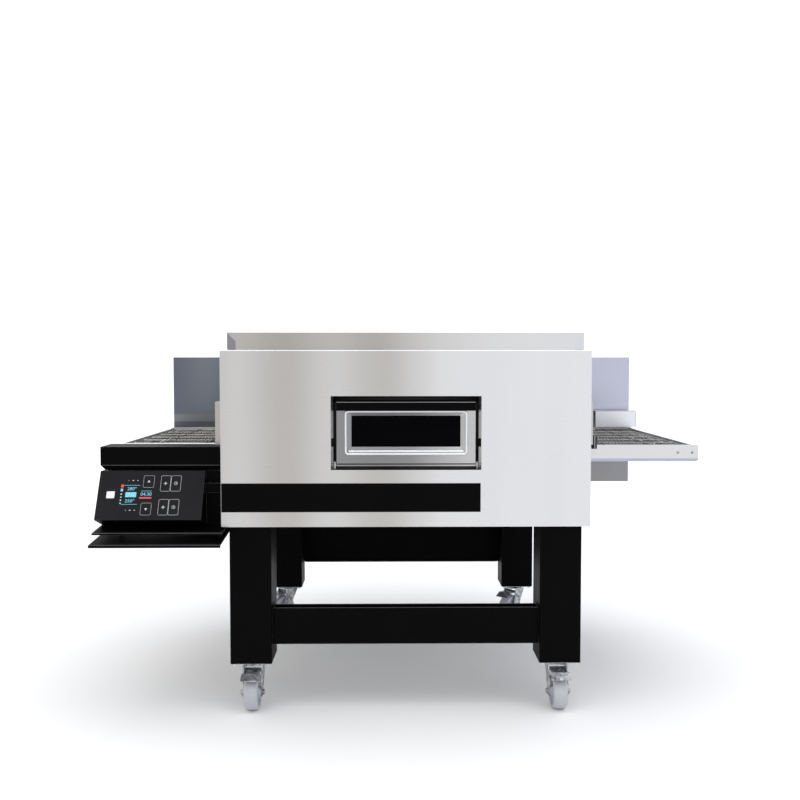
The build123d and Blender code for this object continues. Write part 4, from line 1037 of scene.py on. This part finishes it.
def pan_head_tree():
    """Domed screw heads with a cross recess, one at each point."""
    tree, graph, given, result = open_shape("Pan head screws", [
        ("Geometry", "Geometry", None), ("Radius", "Float", 0.005),
        ("Dome", "Float", 0.5), ("Recess", "Float", 0.0014)])
    radius = given["Radius"]
    ball = graph.out("GeometryNodeMeshUVSphere", {"Segments": 20, "Rings": 10, "Radius": radius})
    dome = graph.moved(ball, Scale=graph.xyz(1.0, 1.0, given["Dome"]))
    cutters = graph.add("GeometryNodeJoinGeometry")
    long_side = graph.times(radius, 1.15)
    lift = graph.times(radius, graph.times(given["Dome"], 0.95))
    deep = graph.times(radius, 0.5)
    for size_x, size_y in ((long_side, given["Recess"]), (given["Recess"], long_side)):
        slot = graph.out("GeometryNodeMeshCube", {"Size": graph.xyz(size_x, size_y, deep)})
        raised = graph.moved(slot, Translation=graph.xyz(0.0, 0.0, lift))
        graph.feed(cutters.inputs[0], raised)
    head = graph.out("GeometryNodeMeshBoolean", {"Mesh 1": dome, "Mesh 2": cutters.outputs[0],
                                                 "Self Intersection": True},
                     solver="EXACT", operation="DIFFERENCE")
    set_heads(graph, given, result, head)
    return tree


def hex_head_tree():
    """Hexagon bolt heads with a turned chamfer, one at each point."""
    tree, graph, given, result = open_shape("Hexagon bolts", [
        ("Geometry", "Geometry", None), ("Radius", "Float", 0.009),
        ("Height", "Float", 0.007)])
    radius = given["Radius"]
    block = graph.out("GeometryNodeMeshCylinder", {"Vertices": 6, "Radius": radius,
                                                   "Depth": given["Height"]})
    ball = graph.out("GeometryNodeMeshUVSphere", {"Segments": 24, "Rings": 12,
                                                  "Radius": graph.times(radius, 1.02)})
    turned = graph.moved(ball, Scale=(1.0, 1.0, 0.62))
    lower = graph.moved(turned, Translation=graph.xyz(0.0, 0.0, graph.times(radius, -0.18)))
    head = graph.add("GeometryNodeMeshBoolean", solver="EXACT", operation="INTERSECT")
    graph.feed(head.inputs["Mesh 2"], block)
    graph.feed(head.inputs["Mesh 2"], lower)
    set_heads(graph, given, result, head.outputs[0])
    return tree


class OVEN_OT_screws(bpy.types.Operator):
    """Give every visible screw and bolt of the frame its real head"""

    bl_idname = "oven.screws"
    bl_label = "Screws"

    def execute(self, context):
        chosen = context.scene.oven_screws
        rail, rear, bolts = [], [], []
        for low, high in islands("fasteners"):
            middle = (low + high) / 2
            thin = high - low
            if thin.z < thin.x and thin.z < thin.y:
                bolts.append((middle, (math.pi, 0.0, 0.0), thin.x / 2, thin.z))
            else:
                outward = -1.0 if middle.y < 0 else 1.0
                seat = Vector((middle.x, high.y if outward < 0 else low.y, middle.z))
                group = rail if thin.x < 11 * MM else rear
                group.append((seat, (-outward * math.pi / 2, 0.0, 0.0), thin.x / 2, thin.y))
        pan_heads = pan_head_tree()
        for name, group in (("rail_screws", rail), ("rear_panel_screws", rear)):
            if not group:
                raise RuntimeError(f"no places for {name}")
            points = point_mesh(name, [entry[0] for entry in group], [entry[1] for entry in group])
            mesh = grow(name, pan_heads, {
                "Radius": group[0][2], "Dome": min(chosen.dome, group[0][3] / group[0][2]),
                "Recess": chosen.recess, "Finish": finishes["screw steel"]}, points)
            add_piece(name, mesh, "oven")
        if not bolts:
            raise RuntimeError("no places for the stand bolts")
        points = point_mesh("stand_bolts", [entry[0] for entry in bolts], [entry[1] for entry in bolts])
        mesh = grow("stand_bolts", hex_head_tree(), {"Radius": bolts[0][2], "Height": bolts[0][3],
                                                     "Finish": finishes["zinc plate"]}, points)
        heads = add_piece("stand_bolts", mesh, "oven")
        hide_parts("fasteners")
        return {"FINISHED"}


# Beads and folds of the sheet work, lighter as painted highlights, and black strips as painted shade in the door gaps

def bead_tree():
    """A round bead along every line of a mesh."""
    tree, graph, given, result = open_shape("Sheet beads", [
        ("Geometry", "Geometry", None), ("Radius", "Float", 0.002)])
    line = graph.out("GeometryNodeMeshToCurve", {0: given["Geometry"]})
    ring = graph.out("GeometryNodeCurvePrimitiveCircle", {"Resolution": 12, "Radius": given["Radius"]})
    bead = graph.add("GeometryNodeCurveToMesh", {"Curve": line, "Profile Curve": ring, "Fill Caps": True})
    close_tree(graph, given, result, bead.outputs[0])
    return tree


def runs_mesh(name, runs):
    """A mesh of open lines through points, and of closed ones where a run ends at its start."""
    points, edges = [], []
    for run in runs:
        closed = run[0] == run[-1]
        kept = run[:-1] if closed else run
        first = len(points)
        points.extend(kept)
        edges.extend((first + i, first + i + 1) for i in range(len(kept) - 1))
        if closed:
            edges.append((first + len(kept) - 1, first))
    return line_mesh(name, points, edges)


def rounded_loop(left, right, bottom, top, y, corner, steps=6):
    """A closed rounded rectangle that faces the front."""
    points = [(x, y, z) for x, z in arcs(
        ((right - corner, top - corner, 0), (left + corner, top - corner, 90),
         (left + corner, bottom + corner, 180), (right - corner, bottom + corner, 270)), corner, steps)]
    return points + points[:1]


def add_bars(name, spans, rounding, body, finish):
    """Add bars with rounded edges between pairs of corners, as one piece."""
    copy = bmesh.new()
    for low, high in spans:
        made = bmesh.ops.create_cube(copy, size=1.0)["verts"]
        for vertex in made:
            vertex.co = Vector([low[i] + (high[i] - low[i]) * (vertex.co[i] + 0.5) for i in range(3)])
    bmesh.ops.bevel(copy, geom=copy.edges[:], offset=rounding, segments=2, affect="EDGES")
    bmesh.ops.recalc_face_normals(copy, faces=copy.faces)
    add_piece(name, mesh_from(copy, name), body, finish, smooth=True)


class OVEN_OT_sheet_trim(bpy.types.Operator):
    """Run the rounded hems and folds along the sheet work and the door, lighter as painted highlights, black strips as
    painted shade in the door gaps, and the clip with its rubber at the right tunnel mouth
    """

    bl_idname = "oven.sheet_trim"
    bl_label = "Sheet trim"

    def execute(self, context):
        chosen = context.scene.oven_trim
        beads = bead_tree()
        panel_low, panel_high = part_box("front_panel")
        door_low, door_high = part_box("door_frame")
        glass_low, glass_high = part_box("door_glass")
        handle_low, handle_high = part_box("door_handle")
        cover_low, cover_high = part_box("drive_cover")
        guide_low, guide_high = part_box("air_guides")
        bar_low, bar_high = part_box("front_stretcher")
        guard_low, guard_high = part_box("conveyor_brackets")

        def across(low, high, y, z, inset=2.0):
            return [(low.x + inset * MM, y, z), (high.x - inset * MM, y, z)]

        # each line lies just inside the edges of its sheet, so that its bead stands a little proud of them
        sink = 1.2 * MM
        beside, below, above, corner = 20 * MM, 24.5 * MM, 16 * MM, 10 * MM
        mouth = rounded_loop(glass_low.x - beside, glass_high.x + beside, glass_low.z - below,
                             glass_high.z + above, door_low.y + sink, corner)
        slope = across(glass_low, glass_high, door_low.y + 7 * MM, glass_low.z - 15.5 * MM, -10.0)
        guard_width, guard_depth, guard_drop = 183 * MM, 58 * MM, 72 * MM
        guard_front = guard_high.y - guard_depth + 1 * MM
        guard_edge = guard_high.x - 1.7 * MM
        guard_top = guard_high.z - 0.5 * MM
        for name, body, slot, finish, radius, runs in (
                # the hem and the door beads are lighter steel, their brightness a painted highlight
                ("panel_hem", "oven", "stainless", "bright steel", chosen.hem_radius,
                 [across(panel_low, panel_high, panel_low.y + 1.6 * MM, panel_high.z - sink)]),
                ("door_mouth_bead", "door", "stainless", "bright steel", chosen.bead_radius, [mouth]),
                ("door_sill_bead", "door", "stainless", "bright steel", chosen.bead_radius * 1.15, [slope]),
                # a steel bead along the black handle's top edge stands for a painted highlight
                ("handle_lip", "door", "stainless", "seam steel", 1.5 * MM,
                 [across(handle_low, handle_high, handle_low.y + sink, handle_high.z - sink)]),
                ("cover_strip", "oven", "stainless", "bright steel", 2.4 * MM,
                 [across(cover_low, cover_high, cover_high.y - 3 * MM, cover_high.z + 1.0 * MM, 6.0)]),
                # the fold beads are a lighter grey as a painted edge highlight
                ("paint_folds", "oven", "black_paint", "rubbed edge", chosen.fold_radius,
                 [across(cover_low, cover_high, cover_low.y + 1.1 * MM, cover_low.z + 18 * MM),
                  across(guide_low, guide_high, guide_low.y + 1.5 * MM, guide_low.z + 9 * MM),
                  across(guide_low, guide_high, guide_low.y + 37 * MM, guide_high.z - 9.5 * MM),
                  across(bar_low, bar_high, bar_low.y + 1.5 * MM, bar_high.z - 9.4 * MM, 4.0),
                  across(bar_low, bar_high, bar_high.y - 1.5 * MM, bar_high.z - 9.4 * MM, 4.0)]),
                ("guard_seams", "oven", "stainless", "seam steel", 1.5 * MM,
                 [[(guard_high.x - guard_width, guard_front, guard_top), (guard_edge, guard_front, guard_top),
                   (guard_edge, guard_front, guard_top - guard_drop)]])):
            mesh = grow(name, beads, {"Radius": radius, "Finish": finishes[finish]}, runs_mesh(name, runs))
            add_piece(name, mesh, body)

        # black strips in the gap round the door and across the door's foot as painted shade, and the clip with its
        # rubber at the right tunnel mouth
        gap_shade_y = (door_low.y + 6 * MM, door_low.y + 12 * MM)
        reach, rise, inset = 8.4 * MM, 20 * MM, 8 * MM
        strips = [((door_low.x + inset - reach, gap_shade_y[0], handle_high.z + 1 * MM),
                   (door_high.x - inset + reach, gap_shade_y[1], handle_high.z + rise))]
        for side in (-1, 1):
            near, far = side * (handle_high.x + 1.2 * MM), side * (handle_high.x + reach)
            strips.append(((min(near, far), gap_shade_y[0], door_low.z + 24 * MM),
                           (max(near, far), gap_shade_y[1], handle_high.z + rise)))
        add_bars("door_seal", strips, 1.0 * MM, "oven", "seal rubber")
        foot_gap_shade = ((door_low.x + 10 * MM, door_low.y - 0.5 * MM, door_low.z + 7 * MM),
                  (door_high.x - 10 * MM, door_low.y + 0.6 * MM, door_low.z + 11 * MM))
        add_bars("door_drip_strip", [foot_gap_shade], 0.3 * MM, "door", "seal rubber")
        clip_y = (guard_low.y - 3 * MM, guard_low.y - 0.3 * MM)
        for name, slot, finish, left, right in (("clip_rubber", "gland_nylon", "seal rubber", 679.6, 688.0),
                                                ("clip_plate", "stainless", "seam steel", 688.2, 693.5),
                                                ("clip_guard", "gland_nylon", "clip blue", 693.9, 699.5)):
            span = ((left * MM, clip_y[0], guard_low.z - 2 * MM), (right * MM, clip_y[1], guard_low.z + 45 * MM))
            add_bars(name, [span], 0.6 * MM, "oven", finish)
        return {"FINISHED"}


# Casters

# how far a caster plate's bolts stand from its edges
BOLT_EDGE_X, BOLT_EDGE_Y = 11 * MM, 9 * MM
CORNERS = ("front_left", "front_right", "rear_left", "rear_right")


def lathe(profile, steps=40):
    """A closed turned shape about +Z, from (radius, height) points."""
    copy = bmesh.new()
    rings = []
    for step in range(steps):
        angle = math.tau * step / steps
        rings.append([copy.verts.new((r * math.cos(angle), r * math.sin(angle), z)) for r, z in profile])
    for step in range(steps):
        near, far = rings[step], rings[(step + 1) % steps]
        for i in range(len(profile) - 1):
            copy.faces.new((near[i], far[i], far[i + 1], near[i + 1]))
    bmesh.ops.remove_doubles(copy, verts=copy.verts, dist=0.001 * MM)
    bmesh.ops.recalc_face_normals(copy, faces=copy.faces)
    return copy


class OVEN_OT_caster_trim(bpy.types.Operator):
    """Add the top plates, their bolts and the dust seals of the casters"""

    bl_idname = "oven.caster_trim"
    bl_label = "Caster trim"

    def execute(self, context):
        chosen = context.scene.oven_casters
        plate_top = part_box("caster_plates")[1].z
        half = chosen.plate_half
        top, bottom = plate_top - 0.2 * MM, plate_top - 3.2 * MM
        spans, places = [], []
        for corner in CORNERS:
            pin = place_of(f"swivel_{corner}")
            spans.append(((pin.x - half, pin.y - half, bottom), (pin.x + half, pin.y + half, top)))
            places.extend(Vector((pin.x + side * (half - BOLT_EDGE_X), pin.y + row * (half - BOLT_EDGE_Y),
                                  bottom - 3.4 * MM))
                          for side in (-1, 1) for row in (-1, 1))
        add_bars("caster_top_plates", spans, 0.8 * MM, "oven", "bright steel")
        points = point_mesh("caster_plate_bolts", places, [(math.pi, 0.0, 0.0)] * len(places))
        mesh = grow("caster_plate_bolts", hex_head_tree(), {"Radius": 6.5 * MM, "Height": 7.0 * MM,
                                                            "Finish": finishes["bright steel"]}, points)
        add_piece("caster_plate_bolts", mesh, "oven")
        # the section of a seal: each point inwards of the outer radius, and under the seal's top
        top, outer = plate_top - 4.3 * MM, chosen.seal_radius
        profile = [(outer - inwards * MM, top - under * MM) for inwards, under in (
            (3.5, 0.0), (0.0, 0.5), (-0.8, 3.5), (0.6, 9.0), (3.2, 9.8), (5.0, 9.0), (3.5, 0.0))]
        for corner in CORNERS:
            pin = place_of(f"swivel_{corner}")
            seal = lathe(profile)
            bmesh.ops.translate(seal, verts=seal.verts, vec=(pin.x, pin.y, 0.0))
            add_piece(f"caster_seal_{corner}", mesh_from(seal, f"caster_seal_{corner}"), "oven",
                      "seal rubber", smooth=True)
        return {"FINISHED"}


# Studio

WHITE = (1.0, 1.0, 1.0)
DAYLIGHT = (0.925, 0.948, 1.0)


def soft_box(name, place, aim, width, height, power, tint):
    """A large area light turned towards a point."""
    light = bpy.data.lights.new(name, "AREA")
    light.shape = "RECTANGLE"
    light.size, light.size_y = width, height
    light.energy = power
    light.color = tint
    lamp = bpy.data.objects.new(name, light)
    lamp.location = place
    lamp.rotation_euler = (Vector(aim) - Vector(place)).to_track_quat("-Z", "Y").to_euler()
    lamp.visible_camera = False
    bpy.context.scene.collection.objects.link(lamp)


class OVEN_OT_stage(bpy.types.Operator):
    """Set the floor, the soft light and the camera"""

    bl_idname = "oven.stage"
    bl_label = "Stage"

    def execute(self, context):
        chosen = context.scene.oven_stage
        scene = context.scene
        floor_paint("studio floor", (0.93, 0.93, 0.93))
        half = chosen.floor_width / 2
        copy = bmesh.new()
        bmesh.ops.create_grid(copy, x_segments=8, y_segments=8, size=half)
        mesh = mesh_from(copy, "studio_floor")
        mesh.materials.append(finishes["studio floor"])
        floor = bpy.data.objects.new("studio_floor", mesh)
        scene.collection.objects.link(floor)

        world = bpy.data.worlds.new("studio")
        world.use_nodes = True
        scene.world = world
        graph = Graph(world.node_tree)
        background = world.node_tree.nodes["Background"]
        way = graph.parts(graph.add("ShaderNodeTexCoord").outputs["Generated"])
        room = graph.ramp(way["X"], -0.06, 0.16, chosen.room, chosen.window)
        behind = graph.ramp(way["Y"], -0.6, 0.3)
        above = graph.ramp(way["Z"], 0.2, 0.7)
        level = graph.math("MAXIMUM", behind, above)
        mixed = graph.plus(graph.times(graph.minus(1.0, level), room),
                           graph.times(level, chosen.sky))
        camera_only = graph.add("ShaderNodeLightPath").outputs["Is Camera Ray"]
        seen = graph.math("MAXIMUM", mixed, graph.times(camera_only, 1.3))
        graph.feed(background.inputs["Strength"], seen)
        cool = graph.ramp(way["X"], -0.1, 0.3)
        graph.feed(background.inputs["Color"], graph.mix(cool, colour(WHITE), colour(DAYLIGHT)))

        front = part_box("front_panel")[0].y
        soft_box("overhead light", (0.0, -0.6, 4.2), (0.0, 0.0, 0.5), 4.0, 3.0, 60.0, WHITE)

        camera = bpy.data.objects.new("camera", bpy.data.cameras.new("camera"))
        camera.data.lens = chosen.lens
        camera.data.sensor_width = 36.0
        camera.data.clip_end = 200.0
        camera.location = (chosen.aside, front - chosen.distance, chosen.height)
        camera.rotation_euler = (math.pi / 2 - chosen.pitch, 0.0, -chosen.yaw)
        scene.collection.objects.link(camera)
        scene.camera = camera
        scene.view_settings.view_transform = "Standard"
        return {"FINISHED"}


# Add-on

OPERATORS = (OVEN_OT_finishes, OVEN_OT_wire_belt, OVEN_OT_drive_chain, OVEN_OT_control_print, OVEN_OT_screws,
             OVEN_OT_sheet_trim, OVEN_OT_caster_trim, OVEN_OT_stage)
SETTINGS = {"oven_finishes": FinishSettings, "oven_belt": BeltSettings, "oven_chain": ChainSettings,
            "oven_control": ControlSettings, "oven_screws": ScrewSettings, "oven_trim": TrimSettings,
            "oven_casters": CasterSettings, "oven_stage": StageSettings}


class OVEN_PT_parts(bpy.types.Panel):
    """The pieces of the oven and their settings"""

    bl_idname = "OVEN_PT_parts"
    bl_label = "Conveyor Pizza Oven"
    bl_space_type = "VIEW_3D"
    bl_region_type = "UI"
    bl_category = "Oven"

    def draw(self, context):
        for operator in OPERATORS:
            self.layout.operator(operator.bl_idname)
        for name, group in SETTINGS.items():
            box = self.layout.box()
            box.label(text=group.__doc__)
            for setting in group.__annotations__:
                box.prop(getattr(context.scene, name), setting)


def register():
    """Register the settings, the operators and the panel."""
    for group in SETTINGS.values():
        bpy.utils.register_class(group)
    for name, group in SETTINGS.items():
        setattr(bpy.types.Scene, name, PointerProperty(type=group))
    for operator in OPERATORS:
        bpy.utils.register_class(operator)
    bpy.utils.register_class(OVEN_PT_parts)


def unregister():
    """Take them away again."""
    bpy.utils.unregister_class(OVEN_PT_parts)
    for operator in reversed(OPERATORS):
        bpy.utils.unregister_class(operator)
    for name in SETTINGS:
        delattr(bpy.types.Scene, name)
    for group in reversed(SETTINGS.values()):
        bpy.utils.unregister_class(group)


def main():
    """Build every piece in order."""
    register()
    bpy.ops.oven.finishes()
    bpy.ops.oven.wire_belt()
    bpy.ops.oven.drive_chain()
    bpy.ops.oven.control_print()
    bpy.ops.oven.screws()
    bpy.ops.oven.sheet_trim()
    bpy.ops.oven.caster_trim()
    bpy.ops.oven.stage()


if __name__ == "__main__":
    main()
